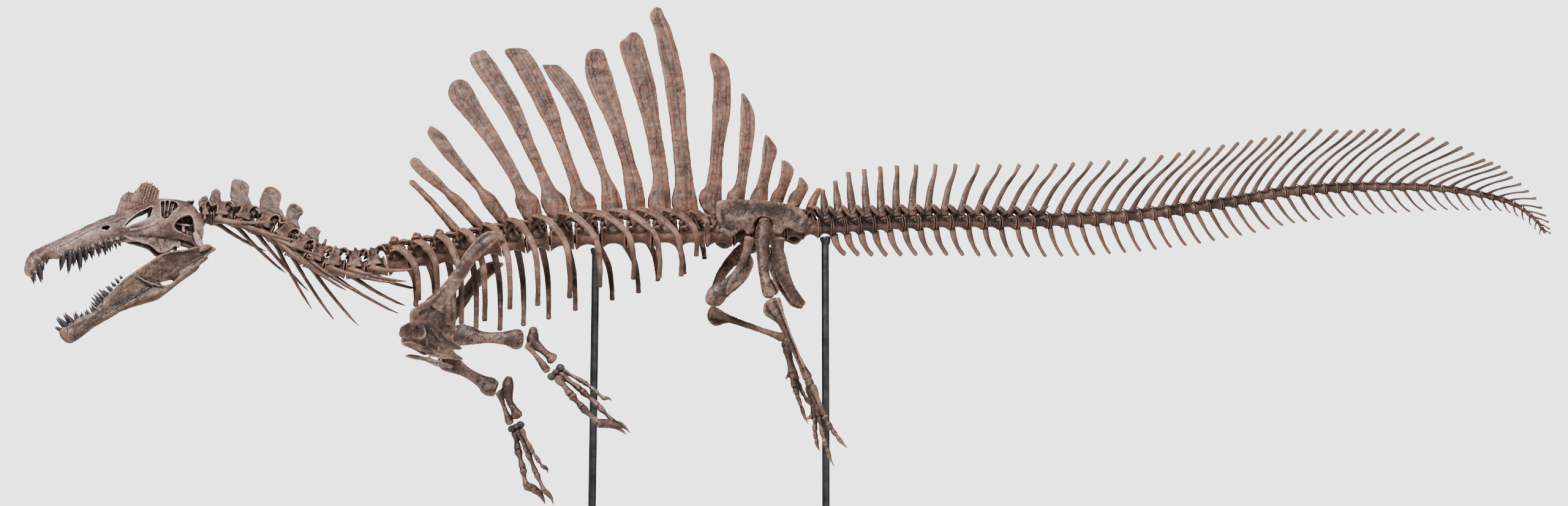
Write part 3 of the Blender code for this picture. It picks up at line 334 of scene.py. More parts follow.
# Sweeps an oval along each line: its half width is the line's `thick`, its long side lies along
# the line's `across`.
sweep, start, end = node_tree("sweep_along_lines", (("Sides", "NodeSocketInt"),
                                                    ("Flatness", "NodeSocketFloat"),
                                                    ("Material", "NodeSocketMaterial")))
link, new = sweep.links.new, sweep.nodes.new
lines = new("GeometryNodeMeshToCurve")
facing = new("GeometryNodeSetCurveNormal")
facing.mode = "FREE"
circle = new("GeometryNodeCurvePrimitiveCircle")
circle.inputs["Radius"].default_value = 1.0
stretch = new("ShaderNodeCombineXYZ")
stretch.inputs["X"].default_value = 1.0
stretch.inputs["Z"].default_value = 1.0
oval = new("GeometryNodeTransform")
skin = new("GeometryNodeCurveToMesh")
skin.inputs["Fill Caps"].default_value = True
coat = new("GeometryNodeSetMaterial")
real = new("GeometryNodeRealizeInstances")
link(start.outputs["Geometry"], lines.inputs[0])
link(lines.outputs[0], facing.inputs["Curve"])
link(named(sweep, "across", "FLOAT_VECTOR"), facing.inputs["Normal"])
link(start.outputs["Sides"], circle.inputs["Resolution"])
link(start.outputs["Flatness"], stretch.inputs["Y"])
link(circle.outputs[0], oval.inputs["Geometry"])
link(stretch.outputs[0], oval.inputs["Scale"])
link(facing.outputs[0], skin.inputs["Curve"])
link(oval.outputs[0], skin.inputs["Profile Curve"])
link(named(sweep, "thick", "FLOAT"), skin.inputs["Scale"])
link(skin.outputs[0], real.inputs[0])
link(real.outputs[0], coat.inputs["Geometry"])
link(start.outputs["Material"], coat.inputs["Material"])
link(coat.outputs[0], end.inputs[0])

# Puts a copy of one shape on each point, turned by the point's `turn` and scaled by its `size`.
scatter, start, end = node_tree("copies_on_points", (("Shape", "NodeSocketObject"),
                                                     ("Material", "NodeSocketMaterial")))
link, new = scatter.links.new, scatter.nodes.new
shape = new("GeometryNodeObjectInfo")
copies = new("GeometryNodeInstanceOnPoints")
turned = new("FunctionNodeEulerToRotation")
real = new("GeometryNodeRealizeInstances")
coat = new("GeometryNodeSetMaterial")
link(start.outputs["Geometry"], copies.inputs["Points"])
link(start.outputs["Shape"], shape.inputs["Object"])
link(shape.outputs["Geometry"], copies.inputs["Instance"])
link(named(scatter, "turn", "FLOAT_VECTOR"), turned.inputs[0])
link(turned.outputs[0], copies.inputs["Rotation"])
link(named(scatter, "size", "FLOAT_VECTOR"), copies.inputs["Scale"])
link(copies.outputs[0], real.inputs[0])
link(real.outputs[0], coat.inputs["Geometry"])
link(start.outputs["Material"], coat.inputs["Material"])
link(coat.outputs[0], end.inputs[0])


def socket(tree, name):
    return next(s.identifier for s in tree.interface.items_tree
                if s.name == name and s.in_out == "INPUT")


def store(mesh, name, kind, values):
    layer = mesh.attributes.new(name, kind, "POINT")
    layer.data.foreach_set("value" if kind == "FLOAT" else "vector", np.ravel(values))


def swept(lines, material, sides=8, flatness=1.0):
    """Tubes along lines of (point, thickness, across, share of tip colour) stations."""
    mesh = bpy.data.meshes.new("lines")
    stations = [station for line in lines for station in line]
    edges, count = [], 0
    for line in lines:
        edges += [(count + k, count + k + 1) for k in range(len(line) - 1)]
        count += len(line)
    mesh.from_pydata([tuple(s[0]) for s in stations], edges, [])
    square = []
    for line in lines:
        ahead = np.gradient(np.array([tuple(s[0]) for s in line]), axis=0)
        ahead /= np.linalg.norm(ahead, axis=1)[:, None]
        across = np.array([tuple(s[2]) for s in line], float)
        square.append(across - ahead * (across * ahead).sum(axis=1)[:, None])
    square = np.vstack(square)
    square /= np.linalg.norm(square, axis=1)[:, None]
    store(mesh, "thick", "FLOAT", [s[1] for s in stations])
    store(mesh, "across", "FLOAT_VECTOR", square)
    store(mesh, "tip", "FLOAT", [s[3] for s in stations])
    return evaluated(mesh, ("NODES", {"node_group": sweep, socket(sweep, "Sides"): sides,
                                      socket(sweep, "Flatness"): flatness,
                                      socket(sweep, "Material"): material}))


def scattered(master, spots, material):
    """Copies of the master mesh at (point, euler, size) spots."""
    shape = bpy.data.objects.new("master", master)
    bpy.context.scene.collection.objects.link(shape)
    mesh = bpy.data.meshes.new("points")
    mesh.from_pydata([tuple(s[0]) for s in spots], [], [])
    store(mesh, "turn", "FLOAT_VECTOR", [tuple(s[1]) for s in spots])
    store(mesh, "size", "FLOAT_VECTOR", [tuple(s[2]) for s in spots])
    made = evaluated(mesh, ("NODES", {"node_group": scatter, socket(scatter, "Shape"): shape,
                                      socket(scatter, "Material"): material}))
    bpy.data.objects.remove(shape)
    return made


def vertebra_spots(ends, first, last, length, radius):
    """Spots for copies of a master vertebra of that length and radius, between joints."""
    spots = []
    for k in range(first, last + 1):
        middle, aft, right, up = frame_at((ends[k] + ends[k + 1]) / 2)
        turn = Matrix((aft, right, up)).transposed().to_euler()
        size = body_radius(middle.x) / radius
        spots.append((middle, turn, ((ends[k + 1] - ends[k]) / length, size, size)))
    return spots


def piece(name, meshes, nodes, slot, finish, rough=0.0022):
    """Joins meshes into one posed piece, roughens its skin and notes its ridges and hollows for painted
    highlights and painted shade.
    """
    verts, corners, totals, calm, marks = [], [], [], [], {"tip": [], "grain": []}
    count = 0
    for mesh in meshes:
        size = len(mesh.vertices)
        spots = np.empty(size * 3)
        mesh.vertices.foreach_get("co", spots)
        order = np.empty(len(mesh.loops), np.int32)
        mesh.loops.foreach_get("vertex_index", order)
        total = np.empty(len(mesh.polygons), np.int32)
        mesh.polygons.foreach_get("loop_total", total)
        verts.append(spots.reshape(-1, 3))
        corners.append(order + count)
        totals.append(total)
        count += size
        calm.append(np.full(size, 0.15 if "tip" in mesh.attributes else 1.0))
        for mark, width, field in (("tip", 1, "value"), ("grain", 3, "vector")):
            values = np.zeros(size * width)
            if mark in mesh.attributes:
                mesh.attributes[mark].data.foreach_get(field, values)
            marks[mark].append(values)
    verts, corners, totals = np.vstack(verts), np.concatenate(corners), np.concatenate(totals)
    pose = np.array(POSE)
    verts = verts @ pose[:3, :3].T + pose[:3, 3]
    made = bpy.data.meshes.new(name)
    made.vertices.add(len(verts))
    made.vertices.foreach_set("co", verts.ravel())
    made.loops.add(len(corners))
    made.loops.foreach_set("vertex_index", corners)
    made.polygons.add(len(totals))
    made.polygons.foreach_set("loop_start", np.concatenate([[0], np.cumsum(totals)[:-1]]))
    made.polygons.foreach_set("use_smooth", np.ones(len(totals), bool))
    made.update(calc_edges=True)
    normals = np.empty(len(verts) * 3)
    made.vertices.foreach_get("normal", normals)
    normals = normals.reshape(-1, 3)
    if rough:
        push = [noise.noise(Vector(v) * 22) + 0.5 * noise.noise(Vector(v) * 60) for v in verts]
        verts = verts + normals * np.array(push)[:, None] * rough
        made.vertices.foreach_set("co", verts.ravel())
    # How far each spot stands out of its smoothed skin; the finish turns this into painted shade in creases
    # and painted highlights on ridges.
    pairs = np.empty(len(made.edges) * 2, np.int32)
    made.edges.foreach_get("vertices", pairs)
    a, b = pairs.reshape(-1, 2).T
    links = np.maximum(np.bincount(a, minlength=len(verts)) + np.bincount(b, minlength=len(verts)), 1)
    soft = verts.copy()
    for _ in range(14):
        for k in range(3):
            total = (np.bincount(a, soft[b, k], len(verts)) + np.bincount(b, soft[a, k], len(verts)))
            soft[:, k] = 0.5 * soft[:, k] + 0.5 * total / links
    lift = ((verts - soft) * normals).sum(axis=1)
    calm = np.concatenate(calm)
    lift = (lift - np.median(lift[calm >= calm.max()])) * calm
    store(made, "relief_light_and_shade", "FLOAT",
          np.clip(0.5 + lift / (5 * np.abs(lift[calm >= calm.max()]).mean() + 1e-6), 0, 1))
    # Painted shade: a spot is darkened where more of the piece stands in front of it, read from a coarse
    # grid, in place of ambient occlusion.
    corner = verts.min(axis=0) - 0.15
    cells = ((verts - corner) / 0.012).astype(int)
    crowd = np.zeros(cells.max(axis=0) + 16, np.float32)
    crowd[tuple(cells.T)] = 1.0
    for axis in range(3):
        crowd = sum(np.roll(crowd, k, axis) for k in (-2, -1, 0, 1, 2)) / 5
    occlusion_shade = np.zeros(len(verts))
    for ahead, share in ((0.035, 1.0), (0.070, 0.7), (0.110, 0.5)):
        probe = ((verts + normals * ahead - corner) / 0.012).astype(int)
        occlusion_shade += crowd[tuple(np.clip(probe, 0, np.array(crowd.shape) - 1).T)] * share
    store(made, "occlusion_shade", "FLOAT", np.clip(occlusion_shade * 3.2, 0, 1))
    store(made, "tip", "FLOAT", np.concatenate(marks["tip"]))
    store(made, "grain", "FLOAT_VECTOR", np.concatenate(marks["grain"]))
    made.update()
    made.materials.append(finish)
    whole = bpy.data.objects.new(name, made)
    bpy.context.scene.collection.objects.link(whole)
    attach(whole, "root")
    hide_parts(*nodes)
    return whole


# ------------------------------------------------------------------ bone finishes
# Painted resin casts of fossil bone: mottled browns with painted shade in creases and hollows, painted
# highlights on ridges, fine cracks, and streaks along the grain of blades.


def bone_finish(name, dark, mid, light, tan, roughness):
    made = bpy.data.materials.new(name)
    made.use_nodes = True
    nodes, link = made.node_tree.nodes, made.node_tree.links.new
    shader = nodes["Principled BSDF"]
    where = nodes.new("ShaderNodeTexCoord").outputs["Object"]

    def texture(kind, scale, detail=2.0, vector=None, **settings):
        node = nodes.new(kind)
        for key, value in settings.items():
            setattr(node, key, value)
        node.inputs["Scale"].default_value = scale
        if "Detail" in node.inputs:
            node.inputs["Detail"].default_value = detail
        link(vector or where, node.inputs["Vector"])
        return node.outputs["Distance" if "Distance" in node.outputs else "Fac"]

    def spread(value, low, high, to_low=0.0, to_high=1.0):
        node = nodes.new("ShaderNodeMapRange")
        for key, number in zip(("From Min", "From Max", "To Min", "To Max"),
                               (low, high, to_low, to_high)):
            node.inputs[key].default_value = number
        link(value, node.inputs["Value"])
        return node.outputs["Result"]

    def mixed(factor, first, second, blend="MIX"):
        node = nodes.new("ShaderNodeMix")
        node.data_type = "RGBA"
        node.blend_type = blend
        for index, item in ((0, factor), (6, first), (7, second)):
            if isinstance(item, tuple):
                node.inputs[index].default_value = (*item, 1)
            elif isinstance(item, float):
                node.inputs[index].default_value = item
            else:
                link(item, node.inputs[index])
        return node.outputs[2]

    def maths(kind, first, second):
        node = nodes.new("ShaderNodeMath")
        node.operation = kind
        for index, item in enumerate((first, second)):
            if isinstance(item, float):
                node.inputs[index].default_value = item
            else:
                link(item, node.inputs[index])
        return node.outputs[0]

    def attribute(label, output):
        node = nodes.new("ShaderNodeAttribute")
        node.attribute_name = label
        return node.outputs[output]

    patches = spread(texture("ShaderNodeTexNoise", 5.0, 6.0), 0.41, 0.61)
    mottling = spread(texture("ShaderNodeTexNoise", 19.0, 5.0), 0.36, 0.68)
    grain = texture("ShaderNodeTexNoise", 170.0, 4.0)
    combed = nodes.new("ShaderNodeMapping")
    combed.inputs["Scale"].default_value = (2.2, 95.0, 1.0)
    link(attribute("grain", "Vector"), combed.inputs["Vector"])
    streaks = texture("ShaderNodeTexNoise", 1.0, 5.0, combed.outputs[0])
    bands = nodes.new("ShaderNodeMapping")
    bands.inputs["Scale"].default_value = (9.0, 1.6, 1.0)
    link(attribute("grain", "Vector"), bands.inputs["Vector"])
    banding = texture("ShaderNodeTexNoise", 1.0, 3.0, bands.outputs[0])
    wander = nodes.new("ShaderNodeVectorMath")
    wander.operation = "ADD"
    drift = nodes.new("ShaderNodeVectorMath")
    drift.operation = "SCALE"
    drift.inputs["Scale"].default_value = 0.12
    bend = nodes.new("ShaderNodeTexNoise")
    bend.inputs["Scale"].default_value = 9.0
    link(where, bend.inputs["Vector"])
    link(bend.outputs["Color"], drift.inputs[0])
    link(where, wander.inputs[0])
    link(drift.outputs[0], wander.inputs[1])
    edges = texture("ShaderNodeTexVoronoi", 8.0, 0.0, wander.outputs[0], feature="DISTANCE_TO_EDGE")
    cracks = maths("MULTIPLY", spread(edges, 0.0, 0.022, 1.0, 0.0),
                   spread(texture("ShaderNodeTexNoise", 4.5, 2.0), 0.48, 0.60))
    relief_light_and_shade = attribute("relief_light_and_shade", "Fac")

    rusty = nodes.new("ShaderNodeTexNoise")
    rusty.inputs["Scale"].default_value = 1.0
    link(bands.outputs[0], rusty.inputs["Vector"])
    colour = mixed(patches, mid, light)
    colour = mixed(spread(rusty.outputs["Fac"], 0.50, 0.60, 0.0, 0.62), colour,
                   (mid[0] * 2.3, mid[1] * 1.6, mid[2] * 1.1))
    colour = mixed(maths("MULTIPLY", mottling, 0.50), colour, dark)
    colour = mixed(spread(streaks, 0.42, 0.66, 0.0, 0.55), colour, dark)
    colour = mixed(spread(banding, 0.52, 0.70, 0.0, 0.5), colour, light)
    # Painted shade: darker in creases and recesses, read from the relief measure.
    colour = mixed(spread(relief_light_and_shade, 0.45, 0.08, 0.0, 0.9), colour, tuple(c * 0.35 for c in dark))
    # Painted highlight: lighter on ridges and rims, read from the relief measure.
    colour = mixed(spread(relief_light_and_shade, 0.58, 0.95, 0.0, 0.65), colour, tuple(min(1, c * 1.3) for c in light))
    # Painted shade: darker where more of the piece stands in front, a stand-in for ambient occlusion.
    colour = mixed(spread(attribute("occlusion_shade", "Fac"), 0.15, 0.95, 0.0, 0.85), colour,
                   tuple(c * 0.45 for c in dark))
    colour = mixed(maths("MULTIPLY", cracks, 0.7), colour, tuple(c * 0.3 for c in dark))
    colour = mixed(maths("MULTIPLY", attribute("tip", "Fac"), 0.75), colour, tan)
    link(colour, shader.inputs["Base Color"])
    link(spread(mottling, 0.0, 1.0, roughness - 0.10, roughness + 0.12), shader.inputs["Roughness"])
    shader.inputs["Specular IOR Level"].default_value = 0.35

    height = maths("ADD", maths("MULTIPLY", grain, 0.25), maths("MULTIPLY", mottling, 0.6))
    height = maths("ADD", height, maths("MULTIPLY", streaks, 0.8))
    height = maths("SUBTRACT", height, maths("MULTIPLY", cracks, 0.9))
    bump = nodes.new("ShaderNodeBump")
    bump.inputs["Strength"].default_value = 0.7
    bump.inputs["Distance"].default_value = 0.006
    link(height, bump.inputs["Height"])
    link(bump.outputs["Normal"], shader.inputs["Normal"])
    return made


brown_bone = bone_finish("brown_cast", (0.018, 0.007, 0.004), (0.068, 0.030, 0.018),
                         (0.225, 0.122, 0.085), (0.30, 0.175, 0.120), 0.50)
tail_bone = bone_finish("tail_cast", (0.014, 0.006, 0.003), (0.042, 0.019, 0.012),
                        (0.165, 0.088, 0.062), (0.24, 0.135, 0.095), 0.50)
grey_bone = bone_finish("mauve_cast", (0.024, 0.011, 0.008), (0.110, 0.058, 0.047),
                        (0.350, 0.222, 0.188), (0.38, 0.25, 0.20), 0.48)
sail_bone = bone_finish("reddish_cast", (0.020, 0.007, 0.004), (0.092, 0.036, 0.020),
                        (0.215, 0.106, 0.068), (0.30, 0.16, 0.10), 0.52)
hip_bone = bone_finish("warm_brown_cast", (0.015, 0.006, 0.004), (0.058, 0.027, 0.018),
                       (0.240, 0.138, 0.102), (0.30, 0.17, 0.12), 0.46)
jaw_bone = bone_finish("dark_brown_cast", (0.010, 0.005, 0.003), (0.038, 0.018, 0.011),
                       (0.190, 0.108, 0.072), (0.26, 0.15, 0.10), 0.46)
dark_bone = bone_finish("dark_cast", (0.010, 0.006, 0.005), (0.028, 0.019, 0.016),
                        (0.068, 0.050, 0.044), (0.10, 0.07, 0.06), 0.45)

# ------------------------------------------------------------------ neck
# Ten vertebrae: spool-shaped bodies, broad rounded spines that shrink backwards, and long thin ribs
# that trail under the neck. All cast in brown resin.
NECK_LENGTH, NECK_RADIUS = 0.185, 0.088
# Height of each arch's top over the middle of the vertebra, atlas first.
NECK_SPINES = (0.17, 0.29, 0.40, 0.385, 0.35, 0.28, 0.23, 0.20, 0.20, 0.19)
# Outlines of the six broad front spines, as x and z from front to rear.
NECK_BLADES = (
    ((-4.705, 0.08), (-4.725, 0.135), (-4.695, 0.175), (-4.655, 0.188), (-4.638, 0.165), (-4.650, 0.08)),
    ((-4.645, 0.06), (-4.639, 0.155), (-4.620, 0.230), (-4.580, 0.262), (-4.545, 0.228), (-4.535, 0.175),
     (-4.51, 0.05)),
    ((-4.500, 0.04), (-4.467, 0.130), (-4.461, 0.212), (-4.452, 0.350), (-4.408, 0.372), (-4.342, 0.345),
     (-4.316, 0.303), (-4.320, 0.235), (-4.290, 0.186), (-4.27, 0.05)),
    ((-4.270, 0.03), (-4.222, 0.110), (-4.212, 0.180), (-4.172, 0.300), (-4.110, 0.318), (-4.048, 0.272),
     (-4.040, 0.225), (-4.053, 0.129), (-4.016, 0.109), (-4.00, 0.00)),
    ((-4.040, -0.04), (-3.995, 0.040), (-3.980, 0.109), (-3.945, 0.170), (-3.904, 0.170), (-3.845, 0.120),
     (-3.850, 0.080), (-3.875, 0.015), (-3.86, -0.06)),
    ((-3.870, -0.17), (-3.825, -0.110), (-3.807, -0.080), (-3.770, -0.035), (-3.725, -0.033),
     (-3.682, -0.072),
     (-3.690, -0.110), (-3.705, -0.20)),
)
FIRST_LOW_ARCH = 6
RIB_DOWN = {LEFT: ((1, 0.02), (4, 0.04), (9, 0.16)), RIGHT: ((1, 0.26), (4, 0.22), (9, 0.27))}


def body(length, radius, waist):
    """A spool-shaped body along X with flared rims and a hollow in each flank."""
    reach = 1.0 - waist
    profile = ((-0.470, 0.88), (-0.458, 1.0), (-0.425, 1.0), (-0.36, 1 - 0.34 * reach),
               (-0.26, 1 - 0.70 * reach),
               (-0.13, 1 - 0.94 * reach), (0.0, waist), (0.13, 1 - 0.94 * reach), (0.26, 1 - 0.70 * reach),
               (0.36, 1 - 0.34 * reach), (0.425, 1.0), (0.458, 1.0), (0.470, 0.88))
    rows = [(x * length, 0, 0, share * radius * 1.02, share * radius) for x, share in profile]
    dents = [tube([(-0.20 * length, side * radius * 1.0, 0.28 * radius, 0.30 * radius, 0.20 * radius),
                   (0.20 * length, side * radius * 1.0, 0.28 * radius, 0.30 * radius, 0.20 * radius)], 12)
             for side in (LEFT, RIGHT)]
    return carve(tube(rows, sides=24, steps=3, blunt=0.05), dents)


neck_master = [body(NECK_LENGTH, NECK_RADIUS, 0.72)]
for side in (LEFT, RIGHT):
    neck_master += [
        tube([(-0.045, side * 0.050, 0.070, 0.016, 0.030), (0.040, side * 0.050, 0.075, 0.016, 0.032)], 10),
        tube([(-0.02, side * 0.060, 0.050, 0.030, 0.016), (-0.025, side * 0.098, 0.00, 0.026, 0.014),
              (-0.03, side * 0.120, -0.040, 0.024, 0.014)], across=(1, 0, 0)),
        tube([(-0.055, side * 0.05, -0.03, 0.022, 0.018), (-0.06, side * 0.10, -0.05, 0.018, 0.014)],
             across=(1, 0, 0))]
neck_master = fuse(neck_master, 0.0070)


def neck_arch(index):
    """The spine of one neck vertebra and the arch that flows down from it."""
    half = (NECK[index + 1] - NECK[index]) / 2
    placed = local((NECK[index] + NECK[index + 1]) / 2)
    top = NECK_SPINES[index]
    shells, blade = [], []
    if index < FIRST_LOW_ARCH:
        middle_y = placed(0, 0.1, 0).y
        outline = [(x, z, 0.014) for x, z in NECK_BLADES[index]]
        blade.append(slab(outline, lambda x, z, w: Vector((x, middle_y + w, z)), 4))
        blade.append(tube([(x, middle_y, z - 0.004, 0.018, 0.010) for x, z in NECK_BLADES[index][2:-2]], 10))
        shells.append(tube([(*placed(-0.80 * half, 0.090, 0), 0.034, 0.040),
                            (*placed(0, 0.10, 0), 0.030, 0.045),
                            (*placed(0.75 * half, 0.095, 0), 0.034, 0.040)], 12))
    else:
        shells.append(tube([(*placed(-0.85 * half, 0.150, 0), 0.030, 0.014),
                            (*placed(0, 0.165, 0), 0.024, 0.020),
                            (*placed(0.80 * half, 0.165, 0), 0.034, 0.014)], 12))
        shells.append(tube([(*placed(-0.1 * half, 0.16, 0), 0.012, 0.020),
                            (*placed(-0.2 * half, top + 0.005, 0), 0.010, 0.014)], 10))
    rise = 0.145 if index < FIRST_LOW_ARCH else 0.165
    for side in (LEFT, RIGHT):
        # Curved roofs reach back and forward over the joints, with a dark gap under each.
        shells.append(tube([(*placed(0.10 * half, rise - 0.01, side * 0.022), 0.026, 0.016),
                            (*placed(0.65 * half, rise + 0.012, side * 0.046), 0.026, 0.013),
                            (*placed(1.02 * half, rise - 0.006, side * 0.066), 0.024, 0.012),
                            (*placed(1.18 * half, rise - 0.048, side * 0.076), 0.020, 0.011)], 12))
        shells.append(tube([(*placed(-0.10 * half, rise - 0.02, side * 0.026), 0.024, 0.015),
                            (*placed(-0.66 * half, rise - 0.010, side * 0.050), 0.023, 0.012),
                            (*placed(-1.04 * half, rise - 0.045, side * 0.070), 0.019, 0.011)], 12))
        # A plate runs down each flank to the body, broad at both ends.
        plate_rows = ((0.165, 0.74, 0.030), (0.125, 0.50, 0.052), (0.085, 0.46, 0.072), (0.040, 0.60, 0.088),
                      (0.005, 0.66, 0.094))
        outline = [(-wide_by * half - 0.15 * half, u, 0.012) for u, wide_by, r in plate_rows]
        outline += [(wide_by * half - 0.15 * half, u, 0.012) for u, wide_by, r in reversed(plate_rows)]
        outs = [(u, r) for u, wide_by, r in reversed(plate_rows)]
        shells.append(slab(outline, lambda a, u, w, p=placed, s=side: p(a, u, s * between(outs, u) + w)))
    if index < 2:
        middle = np.array(placed(0, 0.03, 0))
        shells = [((verts - middle) * 0.86 + middle, faces) for verts, faces in shells]
    return shells + blade


def neck_rib(index, side):
    """Stations along the thin rib of one neck vertebra."""
    placed = local((NECK[index] + NECK[index + 1]) / 2)
    bar = between(((0, 0.09), (3, 0.12), (9, 0.16)), index)
    length = between(((1, 0.70), (3, 1.0), (7, 1.0), (9, 0.55)), index) * 1.02
    knee = placed(0.0, -0.045, side * bar)
    tip = knee + (placed(0.56, -between(RIB_DOWN[side], index), side * 0.13) - placed(0, 0, 0)) * length
    bow = Vector((0, 0, -0.018))
    rows = [(*placed(-0.06, -0.025, side * bar * 0.75), 0.024), (*knee, 0.023),
            (*(knee.lerp(tip, 0.22) + bow * 0.7), 0.0190), (*(knee.lerp(tip, 0.5) + bow), 0.0160),
            (*(knee.lerp(tip, 0.8) + bow * 0.7), 0.0130), (*tip, 0.0050)]
    return [(row[:3], max(row[3], 0.002), (0, 0, 1), 0.0) for row in spline(rows, 6)]


def inner_cord(first, last, material):
    """The core inside a run of vertebrae, seen only as darkness in the joints between them."""
    line = []
    for distance in np.arange(first, last, 0.04):
        middle = point_at(distance)
        line.append((middle, body_radius(middle.x) * 0.42, (0, 1, 0), 0.0))
    return swept([line], material, sides=10)


for name, first, last in (("neck_front", 0, 3), ("neck_middle", 4, 6), ("neck_rear", 7, 9)):
    arches = fuse([shell for k in range(first, last + 1) for shell in neck_arch(k)], 0.0070, 4)
    bodies = scattered(neck_master, vertebra_spots(NECK, first, last, NECK_LENGTH, NECK_RADIUS), brown_bone)
    lines = [neck_rib(k, side) for k in range(max(first, 1), last + 1) for side in (LEFT, RIGHT)]
    piece(name + "_bones", [bodies, arches, swept(lines, brown_bone, 8, 0.7),
                            inner_cord(NECK[first] + 0.02, NECK[last + 1] - 0.02, brown_bone)],
          [name], "fossil_bone", brown_bone, rough=0.0030)

# ------------------------------------------------------------------ back and sail
# Fourteen trunk vertebrae and five fused hip vertebrae with their arches and cross processes, and
# the tall blades of the sail, each with a swollen foot and a widening, streaked blade. Reddish casts.
DORSAL_LENGTH, DORSAL_RADIUS = 0.222, 0.097
FIRST_SAIL = 3
# Each sail blade from its foot to its tip: (height, x of the front edge, x of the rear edge).
SAIL = (
    ((0.21, -2.72, -2.66), (0.28, -2.79, -2.73), (0.35, -2.86, -2.79), (0.40, -2.915, -2.84),
     (0.44, -2.92, -2.88)),
    ((0.22, -2.51, -2.41), (0.31, -2.60, -2.51), (0.40, -2.72, -2.60), (0.49, -2.83, -2.68),
     (0.58, -2.91, -2.79),
     (0.65, -2.90, -2.85)),
    ((0.23, -2.24, -2.11), (0.32, -2.29, -2.21), (0.50, -2.45, -2.35), (0.68, -2.62, -2.49),
     (0.87, -2.76, -2.62),
     (0.96, -2.755, -2.73)),
    ((0.23, -1.95, -1.75), (0.37, -1.97, -1.85), (0.65, -2.13, -2.00), (0.93, -2.33, -2.16),
     (1.21, -2.56, -2.33),
     (1.35, -2.58, -2.40), (1.42, -2.53, -2.46)),
    ((0.24, -1.72, -1.50), (0.43, -1.74, -1.63), (0.80, -1.91, -1.80), (1.17, -2.11, -1.94),
     (1.55, -2.37, -2.16),
     (1.67, -2.39, -2.24), (1.72, -2.31, -2.27)),
    ((0.25, -1.46, -1.24), (0.43, -1.47, -1.36), (0.81, -1.61, -1.50), (1.18, -1.79, -1.61),
     (1.56, -1.99, -1.78),
     (1.70, -2.08, -1.87), (1.75, -2.05, -1.92)),
    ((0.25, -1.18, -1.00), (0.42, -1.18, -1.06), (0.58, -1.22, -1.14), (0.91, -1.36, -1.24),
     (1.24, -1.52, -1.35),
     (1.46, -1.67, -1.47), (1.57, -1.73, -1.57), (1.60, -1.73, -1.61)),
    ((0.26, -0.95, -0.79), (0.45, -0.97, -0.82), (0.63, -1.00, -0.87), (1.01, -1.12, -0.97),
     (1.39, -1.30, -1.07),
     (1.59, -1.34, -1.13), (1.71, -1.33, -1.17), (1.77, -1.28, -1.20)),
    ((0.26, -0.75, -0.56), (0.45, -0.71, -0.57), (0.64, -0.72, -0.59), (1.02, -0.79, -0.65),
     (1.41, -0.90, -0.70),
     (1.80, -1.02, -0.80), (1.89, -0.97, -0.82), (1.95, -0.92, -0.87)),
    ((0.27, -0.53, -0.31), (0.51, -0.50, -0.35), (0.98, -0.54, -0.40), (1.47, -0.60, -0.43),
     (1.96, -0.69, -0.54),
     (2.12, -0.74, -0.61), (2.21, -0.70, -0.645)),
    ((0.32, -0.28, -0.09), (0.49, -0.21, -0.08), (0.82, -0.17, -0.06), (1.16, -0.15, 0.00),
     (1.51, -0.14, 0.01),
     (1.68, -0.17, -0.04), (1.77, -0.175, -0.13)),
    ((0.32, -0.03, 0.13), (0.49, 0.06, 0.15), (0.74, 0.09, 0.195), (1.08, 0.11, 0.24), (1.25, 0.115, 0.21),
     (1.37, 0.12, 0.145)),
    ((0.32, 0.19, 0.34), (0.49, 0.26, 0.36), (0.66, 0.30, 0.40), (0.83, 0.32, 0.44), (0.96, 0.335, 0.365)),
    ((0.34, 0.38, 0.50), (0.48, 0.46, 0.55), (0.63, 0.49, 0.60), (0.72, 0.49, 0.53)),
    ((0.34, 0.55, 0.67), (0.44, 0.62, 0.73), (0.49, 0.64, 0.73), (0.56, 0.65, 0.68)),
    ((0.27, 0.715, 0.80), (0.36, 0.755, 0.825), (0.42, 0.795, 0.860), (0.46, 0.820, 0.855)),
)

dorsal_master = [body(DORSAL_LENGTH, DORSAL_RADIUS * 1.06, 0.56),
                 tube([(-0.085, 0, 0.125, 0.036, 0.040), (0, 0, 0.13, 0.030, 0.045),
                       (0.085, 0, 0.135, 0.036, 0.040)]),
                 tube([(-0.06, 0, 0.175, 0.030, 0.030), (0.06, 0, 0.185, 0.030, 0.030)])]
for side in (LEFT, RIGHT):
    dorsal_master += [
        tube([(-0.03, side * 0.035, 0.165, 0.022, 0.020), (-0.09, side * 0.048, 0.185, 0.022, 0.016),
              (-0.135, side * 0.050, 0.190, 0.017, 0.010)]),
        tube([(0.03, side * 0.035, 0.175, 0.020, 0.022), (0.085, side * 0.045, 0.200, 0.020, 0.016),
              (0.125, side * 0.050, 0.200, 0.016, 0.010)]),
        tube([(0.0, side * 0.03, 0.150, 0.045, 0.018), (0.0, side * 0.10, 0.162, 0.036, 0.014),
              (0.01, side * 0.19, 0.175, 0.034, 0.013)], across=(1, 0, 0)),
        tube([(-0.06, side * 0.06, 0.065, 0.012, 0.014), (-0.03, side * 0.075, 0.110, 0.010, 0.013),
              (0.0, side * 0.13, 0.155, 0.010, 0.013)], across=(1, 0, 0)),
        tube([(0.06, side * 0.06, 0.065, 0.012, 0.014), (0.035, side * 0.075, 0.110, 0.010, 0.013),
              (0.01, side * 0.13, 0.155, 0.010, 0.013)], across=(1, 0, 0)),
        tube([(-0.065, side * 0.055, 0.045, 0.030, 0.012), (-0.07, side * 0.098, 0.070, 0.024, 0.012)],
             across=(1, 0, 0)),
        tube([(0.0, side * 0.050, 0.035, 0.070, 0.018), (-0.004, side * 0.052, 0.085, 0.056, 0.016),
              (-0.008, side * 0.050, 0.135, 0.062, 0.018), (0.0, side * 0.036, 0.170, 0.080, 0.018)],
              across=(1, 0, 0))]
dorsal_master = fuse(dorsal_master, 0.0084)


